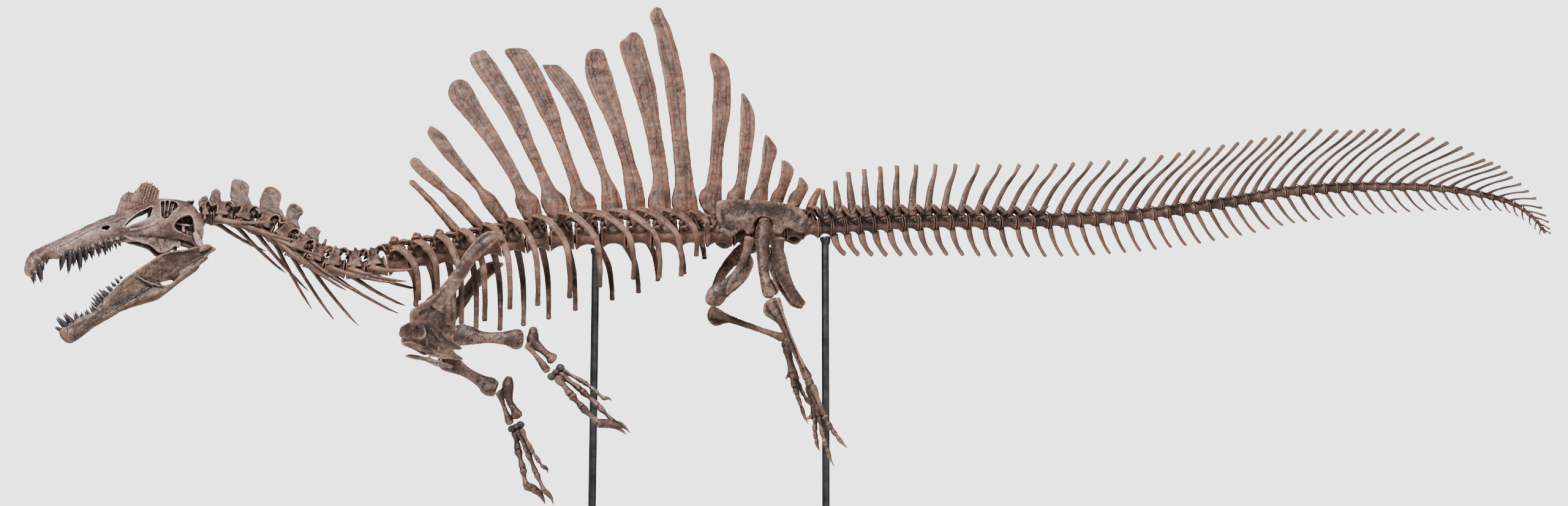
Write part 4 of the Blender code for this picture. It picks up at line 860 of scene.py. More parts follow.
def sail_blade(number, distance, length):
    """A tall spine on its swollen foot, with its grain running up the blade."""
    rows = SAIL[number]
    placed = local(distance)
    middle = placed(0, 0, 0)
    thick = ((0.0, 0.030), (0.20, 0.024), (0.5, 0.019), (1.0, 0.012))
    rows = [(z, front - 0.06 * (rear - front) - 0.002, rear + 0.06 * (rear - front) + 0.002) for z, front,
            rear in rows]
    share = [(row[0] - rows[0][0]) / (rows[-1][0] - rows[0][0]) for row in rows]
    root = placed(0, 0.13, 0)
    outline = [(root.x - length * 0.24, root.z, 0.030)]
    outline += [(front, z, between(thick, t)) for t, (z, front, rear) in zip(share, rows)]
    outline += [(rear, z, between(thick, t)) for t, (z, front, rear) in reversed(list(zip(share, rows)))]
    outline.append((root.x + length * 0.24, root.z, 0.030))
    shells = [slab(outline, lambda x, z, w: Vector((x, middle.y + w, z)), 4)]
    spots, wide = np.array([row[0] for row in rows]), (rows[0][2] - rows[0][1]) / 2
    centres = np.array([(row[1] + row[2]) / 2 for row in rows])
    web = [(root.x, root.z, 0.036, length * 0.22), (centres[0], spots[0], 0.045, wide * 0.93)]
    for up, deep, narrow in ((0.07, 0.042, 0.80), (0.12, 0.032, 0.55)):
        web.append((np.interp(spots[0] + up, spots, centres), spots[0] + up, deep, wide * narrow))
    shells.append(tube([(x, middle.y, z, deep, half) for x, z, deep, half in web], 18))
    mesh = fuse(shells, 0.0098, 4)
    points = np.empty(len(mesh.vertices) * 3)
    mesh.vertices.foreach_get("co", points)
    points = points.reshape(-1, 3)
    aside = points[:, 0] - np.interp(points[:, 2], spots, centres)
    # Shallow flutes run up the flanks and the outline wavers a little.
    flute = np.array([noise.noise(Vector((a * 55 + number * 3, z * 1.5, 0.7))) for a,
                      z in zip(aside, points[:, 2])])
    waver = np.array([noise.noise(Vector((z * 7, number * 5.1, 0.2))) for z in points[:, 2]])
    points[:, 1] += np.sign(points[:, 1] - middle.y) * flute * 0.004
    points[:, 0] += waver * 0.007 * np.sign(aside)
    mesh.vertices.foreach_set("co", points.ravel())
    store(mesh, "grain", "FLOAT_VECTOR",
          np.stack([points[:, 2], aside, np.full(len(points), number * 3.7)], axis=1))
    return mesh


def low_spine(distance):
    """The short forked spine of a front trunk vertebra."""
    placed = local(distance)
    shells = [tube([(*placed(0, 0.12, 0), 0.028, 0.066), (*placed(0.0, 0.19, 0), 0.022, 0.055),
                    (*placed(0.0, 0.225, 0), 0.022, 0.046), (*placed(-0.01, 0.255, 0), 0.014, 0.020)])]
    for side in (LEFT, RIGHT):
        shells.append(tube([(*placed(0.0, 0.17, side * 0.01), 0.018, 0.030),
                            (*placed(0.02, 0.215, side * 0.034), 0.014, 0.024),
                            (*placed(0.03, 0.235, side * 0.045), 0.010, 0.018)]))
    return fuse(shells, 0.0078, 3)


for name, ends, first, last in (("back_front", DORSALS, 0, 4), ("back_middle", DORSALS, 5, 9),
                                ("back_rear", DORSALS, 10, 13), ("sacrum", SACRALS, 0, 4)):
    bones = [scattered(dorsal_master, vertebra_spots(ends, first, last, DORSAL_LENGTH, DORSAL_RADIUS),
                       sail_bone), inner_cord(ends[first] + 0.02, ends[last + 1] - 0.02, sail_bone)]
    for k in range(first, last + 1):
        middle, length = (ends[k] + ends[k + 1]) / 2, ends[k + 1] - ends[k]
        number = k - FIRST_SAIL if name != "sacrum" else k + 14 - FIRST_SAIL
        bones.append(sail_blade(number, middle, length) if 0 <= number < len(SAIL)
                     else low_spine(middle))
    piece(name + "_bones", bones, [name], "sail_bone", sail_bone)

# ------------------------------------------------------------------ ribs
# Thirteen pairs: each runs out along its vertebra's cross process, bends down and sweeps back to a
# free end. Brown casts, swept along their curves.
# Sweep backwards and z of the tip, of the left and of the right one, front to back.
RIBS = (
    ((0.20, -0.72), (0.16, -0.70)), ((0.17, -0.68), (0.13, -0.72)), ((0.19, -0.95), (0.10, -0.93)),
    ((0.19, -0.93), (0.10, -0.88)), ((0.20, -0.83), (0.11, -0.87)), ((0.23, -0.80), (0.11, -0.82)),
    ((0.29, -0.73), (0.12, -0.75)), ((0.33, -0.63), (0.14, -0.66)), ((0.40, -0.55), (0.25, -0.56)),
    ((0.40, -0.53), (0.26, -0.49)), ((0.36, -0.50), (0.20, -0.38)), ((0.26, -0.30), (0.20, -0.32)),
    ((0.12, -0.17), (0.14, -0.18)),
)
CHEST_HALF_WIDTH = 0.52


def rib(index, side):
    """Stations along one rib, and its short lower branch to the vertebra's body."""
    placed = local((DORSALS[index] + DORSALS[index + 1]) / 2)
    middle = placed(0, 0, 0)
    back_by, tip_z = RIBS[index][side == RIGHT]
    widest = CHEST_HALF_WIDTH * between(((0, 0.40), (2, 0.64), (4, 0.86), (7, 1.0), (9, 0.93),
                                         (12, 0.62)), index)
    shoulder = min(0.26, widest * 0.62)
    top = between(((0, 0.12), (4, 0.15), (8, 0.18)), index)
    drop = tip_z - middle.z - top
    rows = [(*placed(0.0, top - 0.005, side * shoulder * 0.55), 0.020),
            (*placed(0, top + 0.005, side * shoulder), 0.032)]
    for share, out, half in ((0.12, 0.84, 0.033), (0.42, 1.02, 0.029), (0.75, 0.93, 0.024),
                             (0.92, 0.80, 0.023),
                             (0.985, 0.75, 0.024), (1.0, 0.74, 0.014)):
        back = back_by * (1 - (1 - share) ** 3.5)
        rows.append((*(middle + Vector((back, side * widest * out, top + drop * share))), half))
    rows = spline(rows, 9)
    main = [(row[:3], row[3], (1, 0, 0.25), 0.0) for row in rows]
    fork = Vector(rows[13][:3])
    low = spline([(*placed(-0.05, 0.065, side * 0.085), 0.017), (*placed(-0.03, 0.085, side * 0.15), 0.015),
                  (*fork, 0.018)], 5)
    branch = [(row[:3], row[3], (1, 0, 0.25), 0.0) for row in low]
    return [main, branch]


for side, word in SIDES:
    for part, first, last in (("front", 0, 3), ("middle", 4, 8), ("rear", 9, 12)):
        lines = [line for k in range(first, last + 1) for line in rib(k, side)]
        piece(f"ribs_{part}_{word}_bones", [swept(lines, brown_bone, 12, 0.55)],
              [f"ribs_{part}_{word}"], "fossil_bone", brown_bone, rough=0.0018)

# ------------------------------------------------------------------ tail
# Fifty-five vertebrae: upright blade-like spines at the front, then slender leaning rods with pale
# knobs, and curved bones hanging under the joints. Brown casts.
TAIL_LENGTH, TAIL_RADIUS = 0.145, 0.066
SPINE_AFT = ((0, 0.00), (2, 0.00), (5, 0.06), (8, 0.17), (10, 0.29), (16, 0.48), (20, 0.63),
             (24, 0.69), (30, 0.76), (36, 0.71), (40, 0.68), (42, 0.62), (44, 0.49), (46, 0.34),
             (50, 0.19), (54, 0.05))
SPINE_HEIGHT = ((0, 0.37), (2, 0.53), (4, 0.57), (28, 0.60), (30, 0.56), (36, 0.59), (38, 0.51),
                (40, 0.43), (42, 0.33), (44, 0.31), (46, 0.25), (48, 0.17), (50, 0.12), (54, 0.04))
CHEVRON_DROP = ((0, 0.26), (4, 0.30), (14, 0.34), (24, 0.35), (32, 0.31), (40, 0.25), (45, 0.18),
                (48, 0.11), (54, 0.05))
CHEVRON_AFT = ((0, 0.08), (20, 0.08), (28, 0.12), (42, 0.17), (46, 0.12), (50, 0.07), (54, 0.03))


def tail_master(waist, wing, ribs):
    """A tail vertebra with forked joint processes of that reach, and side processes if wanted."""
    shells = [body(TAIL_LENGTH, TAIL_RADIUS, waist),
              tube([(-0.045, 0, 0.062, 0.022, 0.018), (0.0, 0, 0.062, 0.018, 0.020),
                    (0.05, 0, 0.066, 0.022, 0.018)], sides=10)]
    if not ribs:
        for side in (LEFT, RIGHT):
            shells += [tube([(-0.02, side * 0.014, 0.062, 0.010, 0.012),
                             (-0.060, side * 0.024, 0.078, 0.008, 0.010),
                             (-0.082, side * 0.026, 0.096, 0.007, 0.008)], sides=10),
                       tube([(0.03, side * 0.010, 0.066, 0.009, 0.010),
                             (0.062, side * 0.014, 0.076, 0.007, 0.008)],
                            sides=10)]
        return fuse(shells, 0.0065, 2)
    for side in (LEFT, RIGHT):
        shells += [
            tube([(-0.01, side * 0.016, 0.072, 0.014, 0.026),
                  (-0.050, side * 0.030, 0.092 + wing * 0.40, 0.013, 0.026),
                  (-0.080, side * 0.036, 0.098 + wing * 0.75, 0.010, 0.017),
                  (-0.098, side * 0.038, 0.100 + wing, 0.006, 0.007)], sides=10),
            tube([(0.01, side * 0.012, 0.078, 0.014, 0.026),
                  (0.055, side * 0.018, 0.098 + wing * 0.45, 0.012, 0.022),
                  (0.082, side * 0.020, 0.098 + wing * 0.75, 0.008, 0.013),
                  (0.10, side * 0.020, 0.098 + wing * 0.95, 0.005, 0.006)], sides=10)]
        shells.append(tube([(0.0, side * 0.042, 0.020, 0.022, 0.014),
                            (0.006, side * 0.085, 0.022, 0.016, 0.009),
                            (0.02, side * 0.115, 0.018, 0.010, 0.007)], sides=10, across=(1, 0, 0)))
    return fuse(shells, 0.0065, 2)


front_master = tail_master(0.62, 0.050, True)
rear_master = tail_master(0.62, 0.018, False)


def tail_spine(number):
    """Stations of a tail spine: a tapering blade on the first vertebrae, then a slender rod."""
    length = CAUDALS[number + 1] - CAUDALS[number]
    placed = local(CAUDALS[number] + 0.70 * length)
    root = body_radius(placed(0, 0, 0).x)
    aft, height = between(SPINE_AFT, number), between(SPINE_HEIGHT, number)
    blade = between(((0, 0.056), (6, 0.050), (11, 0.034), (30, 0.024), (46, 0.017), (54, 0.011)), number)
    top = between(((0, 0.022), (10, 0.0185), (40, 0.0175), (54, 0.010)), number)
    lean = between(((0, 0.0), (8, 0.02), (20, 0.035), (54, 0.01)), number)
    rise = height - root
    rows = [(*placed(-0.02 * aft, root * 0.8, 0), blade * 1.15, 0.0),
            (*placed(0.13 * aft, root + 0.2 * rise, 0), blade * 0.80, 0.0),
            (*placed(0.44 * aft - lean * 0.2, root + 0.52 * rise, 0), blade * 0.68, 0.05),
            (*placed(0.76 * aft + lean * 0.4, root + 0.80 * rise, 0), max(top * 0.90, blade * 0.45), 0.10),
            (*placed(0.95 * aft, root + 0.965 * rise, 0), top * 1.15, 0.8),
            (*placed(0.985 * aft, root + 0.99 * rise, 0), top * 1.1, 0.9),
            (*placed(aft, height, 0), top * 0.5, 1.0)]
    across = placed(1, 0, 0) - placed(0, 0, 0)
    return [(row[:3], max(row[3], 0.003), across, row[4]) for row in spline(rows, 5)]


def chevron(number):
    """Stations of the bone that hangs under the joint in front of the vertebra."""
    placed = local(CAUDALS[number] + 0.02)
    root = body_radius(placed(0, 0, 0).x)
    drop, aft = between(CHEVRON_DROP, number), between(CHEVRON_AFT, number)
    thick = between(((0, 0.036), (8, 0.031), (14, 0.026), (30, 0.021), (54, 0.009)), number)
    curve_by = between(((0, 0.03), (14, 0.025), (24, 0.0), (54, 0.0)), number)
    rows = [(*placed(0, -root * 0.75, 0), thick * 1.1, 0.0),
            (*placed(0.25 * aft - curve_by * 0.4, -root - 0.30 * (drop - root), 0), thick, 0.0),
            (*placed(0.55 * aft - curve_by * 0.3, -root - 0.66 * (drop - root), 0), thick * 0.72, 0.1),
            (*placed(0.9 * aft, -root - 0.93 * (drop - root), 0), thick * 0.75, 0.5),
            (*placed(aft + 0.01, -drop, 0), thick * 0.5, 0.7)]
    across = placed(1, 0, 0) - placed(0, 0, 0)
    return [(row[:3], max(row[3], 0.003), across, row[4]) for row in spline(rows, 4)]


FRONT_TAIL = 15
bounds = [round(k * 55 / 8) for k in range(9)]
for number, (first, stop) in enumerate(zip(bounds, bounds[1:]), 1):
    bones = []
    for master, low, high in ((front_master, first, min(stop, FRONT_TAIL) - 1),
                              (rear_master, max(first, FRONT_TAIL), stop - 1)):
        if low <= high:
            bones.append(scattered(master, vertebra_spots(CAUDALS, low, high, TAIL_LENGTH, TAIL_RADIUS),
                                   tail_bone))
    bones.append(swept([tail_spine(k) for k in range(first, stop)], tail_bone, 10, 0.6))
    bones.append(swept([chevron(k) for k in range(max(first, 1), stop)], tail_bone, 8, 0.6))
    bones.append(inner_cord(CAUDALS[first] + 0.02, CAUDALS[stop] - 0.02, tail_bone))
    piece(f"tail_{number}_bones", bones, [f"tail_{number}"], "fossil_bone", tail_bone, rough=0.0016)

# ------------------------------------------------------------------ skull
# Long crocodile-like snout with a notch and a spoon-shaped tip, a fluted fan crest before the eyes,
# and round openings behind. One mauve-grey cast; thin plates hang inside the cheeks.
HEAD_AT = Vector((-4.71, -0.205, 0))
HEAD_TURN = math.radians(20)
AHEAD = Vector((-math.cos(HEAD_TURN), -math.sin(HEAD_TURN), 0))
BESIDE = Vector((-math.sin(HEAD_TURN), math.cos(HEAD_TURN), 0))


def head(u, v, w):
    """A point u ahead of the back of the skull, at height v and w to the right."""
    return HEAD_AT + AHEAD * u + BESIDE * w + Vector((0, 0, v))


def strut(rows, sides=14, blunt=0.6):
    """A tube through (u, v, w, half width, half depth) rows of the head."""
    return tube([(*head(u, v, w), wide, deep) for u, v, w, wide, deep in rows], sides=sides,
                across=BESIDE, blunt=blunt)


# The head before its openings are cut: (ahead, top, bottom, half width).
HEAD_ROWS = (
    (-0.035, -0.06, -0.26, 0.105), (-0.02, -0.01, -0.30, 0.140), (0.02, 0.045, -0.305, 0.162),
    (0.07, 0.095, -0.295, 0.176), (0.14, 0.116, -0.282, 0.182), (0.24, 0.120, -0.274, 0.178),
    (0.34, 0.112, -0.270, 0.164), (0.44, 0.070, -0.276, 0.148), (0.52, 0.025, -0.290, 0.132),
    (0.59, -0.015, -0.302, 0.116), (0.66, -0.050, -0.318, 0.101), (0.80, -0.130, -0.380, 0.080),
    (0.95, -0.228, -0.455, 0.071), (1.08, -0.316, -0.508, 0.064), (1.16, -0.368, -0.518, 0.050),
    (1.215, -0.402, -0.545, 0.053), (1.255, -0.425, -0.612, 0.064), (1.285, -0.442, -0.672, 0.072),
    (1.325, -0.468, -0.688, 0.071), (1.355, -0.515, -0.680, 0.054), (1.372, -0.575, -0.655, 0.030),
)
NOSTRIL = ((0.805, -0.228), (0.778, -0.201), (0.740, -0.201), (0.744, -0.222), (0.766, -0.238))
WINDOW = ((0.623, -0.200), (0.593, -0.147), (0.548, -0.095), (0.508, -0.059), (0.457, -0.026),
          (0.408, 0.003), (0.425, -0.085), (0.451, -0.112), (0.525, -0.155), (0.572, -0.176))
EYE = ((0.338, 0.047), (0.323, 0.072), (0.274, 0.084), (0.220, 0.075), (0.198, 0.045),
       (0.210, 0.007), (0.247, -0.035), (0.269, -0.074), (0.287, -0.100), (0.316, -0.104),
       (0.334, -0.082), (0.336, -0.024))
CHEEK = ((0.221, -0.145), (0.185, -0.093), (0.124, -0.054), (0.084, -0.060), (0.060, -0.125),
         (0.052, -0.198), (0.068, -0.226), (0.153, -0.205), (0.209, -0.180))
UNDER_CHEEK = ((0.60, -0.36), (0.60, -0.27), (0.44, -0.235), (0.24, -0.245), (0.06, -0.262),
               (0.06, -0.36))
PALATE = ((0.60, -0.25), (0.576, -0.296), (0.468, -0.318), (0.389, -0.340), (0.313, -0.392),
          (0.223, -0.352), (0.190, -0.316), (0.153, -0.330), (0.155, -0.250), (0.30, -0.20))
# Tips of the crest's flutes, front to back.
CREST = ((0.650, 0.085), (0.636, 0.112), (0.618, 0.132), (0.598, 0.147), (0.577, 0.140),
         (0.558, 0.138), (0.536, 0.162), (0.514, 0.194), (0.495, 0.230), (0.473, 0.243),
         (0.450, 0.257), (0.428, 0.246), (0.405, 0.248), (0.383, 0.230), (0.362, 0.212),
         (0.347, 0.190))


def narrowing(rise):
    """How much narrower the head is at `rise`, from -1 at its bottom to 1 at its top."""
    return 1 - 0.40 * max(0.0, rise) ** 1.6 - 0.14 * max(0.0, -rise) ** 3


def flank(u, v):
    """Half width of the head's skin at (u, v)."""
    top, bottom, half = [between([(row[0], row[k]) for row in HEAD_ROWS], u) for k in (1, 2, 3)]
    rise = max(-1.0, min(1.0, (2 * v - top - bottom) / (top - bottom)))
    return half * narrowing(rise) * (1 - rise * rise) ** 0.36


def whole_head():
    rows = spline(HEAD_ROWS, 5)
    verts, faces, sides = [], [], 36
    for u, top, bottom, half in rows:
        for k in range(sides):
            angle = 2 * math.pi * k / sides
            rise = math.sin(angle)
            narrow = narrowing(rise)
            wide = math.copysign(abs(math.cos(angle)) ** 0.72, math.cos(angle))
            verts.append(tuple(head(u, (top + bottom + (top - bottom) * rise) / 2,
                                    wide * half * narrow)))
    for i in range(len(rows) - 1):
        for k in range(sides):
            n = (k + 1) % sides
            faces.append((i * sides + k, i * sides + n, (i + 1) * sides + n, (i + 1) * sides + k))
    faces += [tuple(range(sides)), tuple(range((len(rows) - 1) * sides, len(rows) * sides))]
    return np.array(verts), faces


def pocket(outline, near, far):
    """A straight-sided cutter between two distances from the middle plane, read at each u."""
    count = len(outline)
    ring = spline(list(outline) * 3, 4)[count * 4:count * 8]
    size = len(ring)
    verts = [tuple(head(u, v, out(u))) for out in (near, far) for u, v in ring]
    faces = [tuple(range(size)), tuple(range(size, 2 * size))]
    faces += [(k, (k + 1) % size, size + (k + 1) % size, size + k) for k in range(size)]
    return np.array(verts), faces


cutters = [pocket(shape, lambda u: -0.4, lambda u: 0.4) for shape in (NOSTRIL, WINDOW)]
cutters.append(pocket([(u + (u - 0.767) * 0.9, v + (v + 0.218) * 0.9) for u, v in NOSTRIL],
                      lambda u: -0.050, lambda u: 0.050))
for side in (LEFT, RIGHT):
    cutters.append(pocket(EYE, lambda u, s=side: s * 0.050, lambda u, s=side: s * 0.4))
    cutters.append(pocket(CHEEK, lambda u, s=side: s * 0.060, lambda u, s=side: s * 0.4))
    cutters.append(pocket(UNDER_CHEEK, lambda u, s=side: s * 0.045,
                          lambda u, s=side: s * (flank(u, -0.25) - 0.020)))
    groove = ((1.135, -0.428), (1.061, -0.383), (0.991, -0.326), (0.902, -0.256), (0.82, -0.208),
              (0.70, -0.152), (0.64, -0.115))
    cutters.append(strut([(u, v, side * (flank(u, v) + 0.003), 0.010, 0.009) for u, v in groove], 10))
shells = [carve(whole_head(), cutters)]
shells.append(strut([(0.72, -0.094, 0, 0.022, 0.016), (0.90, -0.204, 0, 0.020, 0.014),
                     (1.08, -0.324, 0, 0.020, 0.014), (1.25, -0.430, 0, 0.026, 0.012)]))
roots = spline([(0.675, -0.075), (0.60, -0.020), (0.50, 0.035), (0.36, 0.105)], 5)
crest = []
for k, (u, v) in enumerate(CREST):
    root = roots[k]
    crest.append(strut([(*root, 0, 0.034, 0.020), ((root[0] + u) / 2, (root[1] + v) / 2, 0, 0.024, 0.0120),
                        (u * 0.85 + root[0] * 0.15, v * 0.85 + root[1] * 0.15, 0, 0.016, 0.0100),
                        (u, v + 0.002, 0, 0.008, 0.0065)], 10))
shells.append(strut([(0.10, 0.100, 0, 0.085, 0.020), (0.06, 0.108, 0, 0.10, 0.014)]))
shells.append(strut([(0.0, -0.06, 0, 0.036, 0.036), (-0.045, -0.065, 0, 0.032, 0.032)]))
for side in (LEFT, RIGHT):
    shells.append(slab([(u, v, 0.010) for u, v in PALATE],
                       lambda u, v, w, s=side: head(u, v, w + s * (0.066 - 0.06 * (v + 0.25)))))
    # The back corner that carries the jaw, and bars seen deep in the openings.
    shells.append(strut([(0.045, -0.20, side * 0.150, 0.020, 0.026),
                         (0.005, -0.28, side * 0.150, 0.022, 0.030),
                         (-0.020, -0.322, side * 0.155, 0.030, 0.024)]))
    for bar in (((0.225, 0.06), (0.250, -0.06)), ((0.262, 0.08), (0.275, -0.07)),
                ((0.300, 0.08), (0.300, -0.09))):
        shells.append(strut([(*bar[0], side * 0.066, 0.013, 0.008), (*bar[1], side * 0.080, 0.013, 0.008)],
                            10))
    shells.append(strut([(0.21, -0.115, side * 0.085, 0.012, 0.013),
                         (0.07, -0.125, side * 0.10, 0.012, 0.011)], 10))
    shells.append(strut([(0.15, -0.07, side * 0.075, 0.014, 0.012),
                         (0.13, -0.19, side * 0.085, 0.016, 0.018)], 10))
    # The tooth margin swells round each root, and the cheek has a low ridge.
    for u in (1.30, 1.255, 1.085, 1.03, 0.995, 0.952, 0.905, 0.862, 0.808, 0.757, 0.715, 0.667):
        low = between([(row[0], row[2]) for row in HEAD_ROWS], u)
        out = side * flank(u, low + 0.030)
        shells.append(strut([(u, low + 0.050, out, 0.012, 0.018),
                             (u, low + 0.014, out * 0.95, 0.015, 0.021)], 10))
    shells.append(strut([(u, v, side * (flank(u, v) - 0.004), 0.010, 0.010) for u, v in
                         ((0.58, -0.225), (0.48, -0.195), (0.40, -0.160), (0.345, -0.115))], 10))
piece("skull_cast", [fuse(shells, 0.0062, 4)], ["skull"], "grey_bone", grey_bone, rough=0.0042)
crest = fuse(crest, 0.0052, 2)
spots = np.array([tuple(v.co) for v in crest.vertices]) - np.array(HEAD_AT)
store(crest, "grain", "FLOAT_VECTOR",
      np.stack([spots[:, 2], spots @ np.array(AHEAD), np.full(len(spots), 2.2)], axis=1))
piece("crest_cast", [crest], ["skull"], "sail_bone", sail_bone, rough=0.0025)

# ------------------------------------------------------------------ lower jaw
# Two deep flat rami that meet in a narrow chin, with a slanting window at the back, a ridge under it
# and hollows round it. One brown cast.
JAW_TOP = ((-0.10, -0.298), (-0.06, -0.290), (0.021, -0.318), (0.131, -0.362), (0.242, -0.387),
           (0.325, -0.429), (0.421, -0.508), (0.515, -0.588), (0.600, -0.668), (0.671, -0.754),
           (0.743, -0.847), (0.795, -0.930), (0.838, -0.966), (0.922, -1.006), (0.968, -1.042),
           (1.041, -1.101))
JAW_LOW = ((1.060, -1.145), (1.034, -1.190), (0.978, -1.225), (0.915, -1.196), (0.827, -1.110),
           (0.766, -1.056), (0.673, -0.985), (0.581, -0.910), (0.477, -0.850), (0.372, -0.802),
           (0.272, -0.755), (0.215, -0.706), (0.135, -0.625), (0.019, -0.515), (-0.059, -0.441),
           (-0.082, -0.384), (-0.140, -0.330))
JAW_WINDOW = ((0.300, -0.668), (0.278, -0.618), (0.220, -0.588), (0.152, -0.566), (0.180, -0.630),
              (0.250, -0.690))
JAW_OUT = ((-0.13, 0.155), (0.0, 0.160), (0.13, 0.158), (0.305, 0.145), (0.465, 0.112),
           (0.635, 0.068), (0.80, 0.030), (0.90, 0.024), (1.08, 0.018))
JAW_THICK = ((-0.13, 0.012), (0.0, 0.022), (0.20, 0.021), (0.50, 0.023), (0.80, 0.031), (0.97, 0.036),
             (1.06, 0.022))
shells = []
for side in (LEFT, RIGHT):
    def jaw_place(u, v, w, side=side):
        return head(u, v, side * between(JAW_OUT, u) + w)

    outline = [(u, v, between(JAW_THICK, u)) for u, v in JAW_TOP + JAW_LOW]
    hollows = [((0.40, -0.735, 0.050, 0.070), (0.20, -0.650, 0.048, 0.060)),
               ((0.30, -0.530, 0.050, 0.100), (0.14, -0.460, 0.050, 0.080)),
               ((0.66, -0.85, 0.048, 0.050), (0.52, -0.74, 0.048, 0.060))]
    cutters = [pocket(JAW_WINDOW, lambda u, s=side: s * 0.02, lambda u, s=side: s * 0.3)]
    for ends in hollows:
        cutters.append(strut([(u, v, side * (between(JAW_OUT, u) + between(JAW_THICK, u) + wide - 0.008),
                               wide, deep)
                              for u, v, wide, deep in ends], 16))
    shells.append(carve(slab(outline, jaw_place, 5), cutters))
    edge = [(u, v - 0.014) for u, v in JAW_TOP[2:14]]
    shells.append(tube([(*jaw_place(u, v, side * 0.004), 0.024, 0.013) for u, v in edge], across=BESIDE))
    ridge = ((0.560, -0.650), (0.513, -0.615), (0.410, -0.669), (0.287, -0.700), (0.20, -0.675))
    shells.append(tube([(*jaw_place(u, v, side * (between(JAW_THICK, u) - 0.011)), 0.009, 0.010) for u,
                        v in ridge],
                       across=BESIDE))
    shells.append(strut([(-0.09, -0.312, side * 0.156, 0.026, 0.014),
                         (-0.05, -0.325, side * 0.160, 0.036, 0.030),
                         (0.00, -0.352, side * 0.162, 0.030, 0.026)]))
    for u, v in ((0.975, -1.05), (0.925, -1.015), (0.885, -0.995), (0.80, -0.93), (0.745, -0.86)):
        shells.append(strut([(u, v, side * 0.034, 0.018, 0.018),
                             (u - 0.02, v - 0.03, side * 0.036, 0.020, 0.022)], 10))
piece("lower_jaw_cast", [fuse(shells, 0.0062, 4)], ["lower_jaw"], "fossil_bone", jaw_bone, rough=0.0040)

# ------------------------------------------------------------------ teeth
# Conical teeth, near-black brown and glossier than the bone, copied round both jaws. The lower ones
# lean forward.
# Upper: u of the root, then u and v of the tip. Lower: u and v of the root, of the tip, and side w.
UPPER_TEETH = (
    (1.305, 1.281, -0.742), (1.262, 1.227, -0.726), (1.240, 1.224, -0.640), (1.205, 1.200, -0.566),
    (1.082, 1.088, -0.612), (1.028, 1.024, -0.628), (1.002, 0.983, -0.556), (0.955, 0.931, -0.597),
    (0.908, 0.891, -0.515), (0.862, 0.839, -0.477), (0.808, 0.784, -0.452), (0.757, 0.732, -0.432),
    (0.715, 0.694, -0.394), (0.667, 0.646, -0.366), (0.630, 0.615, -0.336),
)
LOWER_TEETH = (
    (1.050, -1.120, 1.102, -1.096, 0.022), (1.022, -1.075, 1.092, -1.015, 0.030),
    (0.974, -1.044, 1.037, -0.976, 0.034), (0.928, -1.014, 0.956, -0.956, 0.036),
    (0.890, -0.994, 0.903, -0.958, 0.036), (0.845, -0.970, 0.871, -0.925, 0.036),
    (0.805, -0.925, 0.836, -0.884, 0.040), (0.770, -0.880, 0.829, -0.842, 0.046),
    (0.755, -0.855, 0.824, -0.800, 0.052), (0.722, -0.800, 0.789, -0.754, 0.058),
    (0.694, -0.755, 0.737, -0.722, 0.064), (0.667, -0.712, 0.697, -0.682, 0.070),
    (0.640, -0.675, 0.668, -0.648, 0.076), (0.612, -0.645, 0.630, -0.620, 0.082),
)
TOOTH_HALF_WIDTH = 0.0205
tooth_finish = bpy.data.materials.new("tooth_enamel")
tooth_finish.use_nodes = True
tooth_nodes, link = tooth_finish.node_tree.nodes, tooth_finish.node_tree.links.new
stain = tooth_nodes.new("ShaderNodeTexNoise")
stain.inputs["Scale"].default_value = 60.0
ramp = tooth_nodes.new("ShaderNodeValToRGB")
ramp.color_ramp.elements[0].color = (0.008, 0.005, 0.005, 1)
ramp.color_ramp.elements[1].color = (0.032, 0.021, 0.020, 1)
link(tooth_nodes.new("ShaderNodeTexCoord").outputs["Object"], stain.inputs["Vector"])
link(stain.outputs["Fac"], ramp.inputs["Fac"])
link(ramp.outputs["Color"], tooth_nodes["Principled BSDF"].inputs["Base Color"])
gloss = tooth_nodes.new("ShaderNodeMapRange")
gloss.inputs["To Min"].default_value = 0.28
gloss.inputs["To Max"].default_value = 0.5
link(stain.outputs["Fac"], gloss.inputs["Value"])
link(gloss.outputs["Result"], tooth_nodes["Principled BSDF"].inputs["Roughness"])
ridges = tooth_nodes.new("ShaderNodeBump")
ridges.inputs["Strength"].default_value = 0.3
ridges.inputs["Distance"].default_value = 0.002
link(stain.outputs["Fac"], ridges.inputs["Height"])
link(ridges.outputs["Normal"], tooth_nodes["Principled BSDF"].inputs["Normal"])

tooth_master = mesh_of([tube([(0, 0, -0.25, 0.96, 0.90), (0, 0, 0.05, 1.0, 0.94), (0, 0.0, 0.40, 0.74, 0.70),
                              (0.02, 0, 0.72, 0.42, 0.40), (0.06, 0, 1.0, 0.07, 0.07)], sides=10, steps=2,
                             blunt=0.05)])


def tooth_spot(base, tip):
    """A spot that stands the master tooth on its base, with its point at the tip."""
    rise = tip - base
    wide = TOOTH_HALF_WIDTH * min(1.25, max(0.7, rise.length / 0.08))
    return base, rise.to_track_quat("Z", "X").to_euler(), (wide, wide, rise.length)


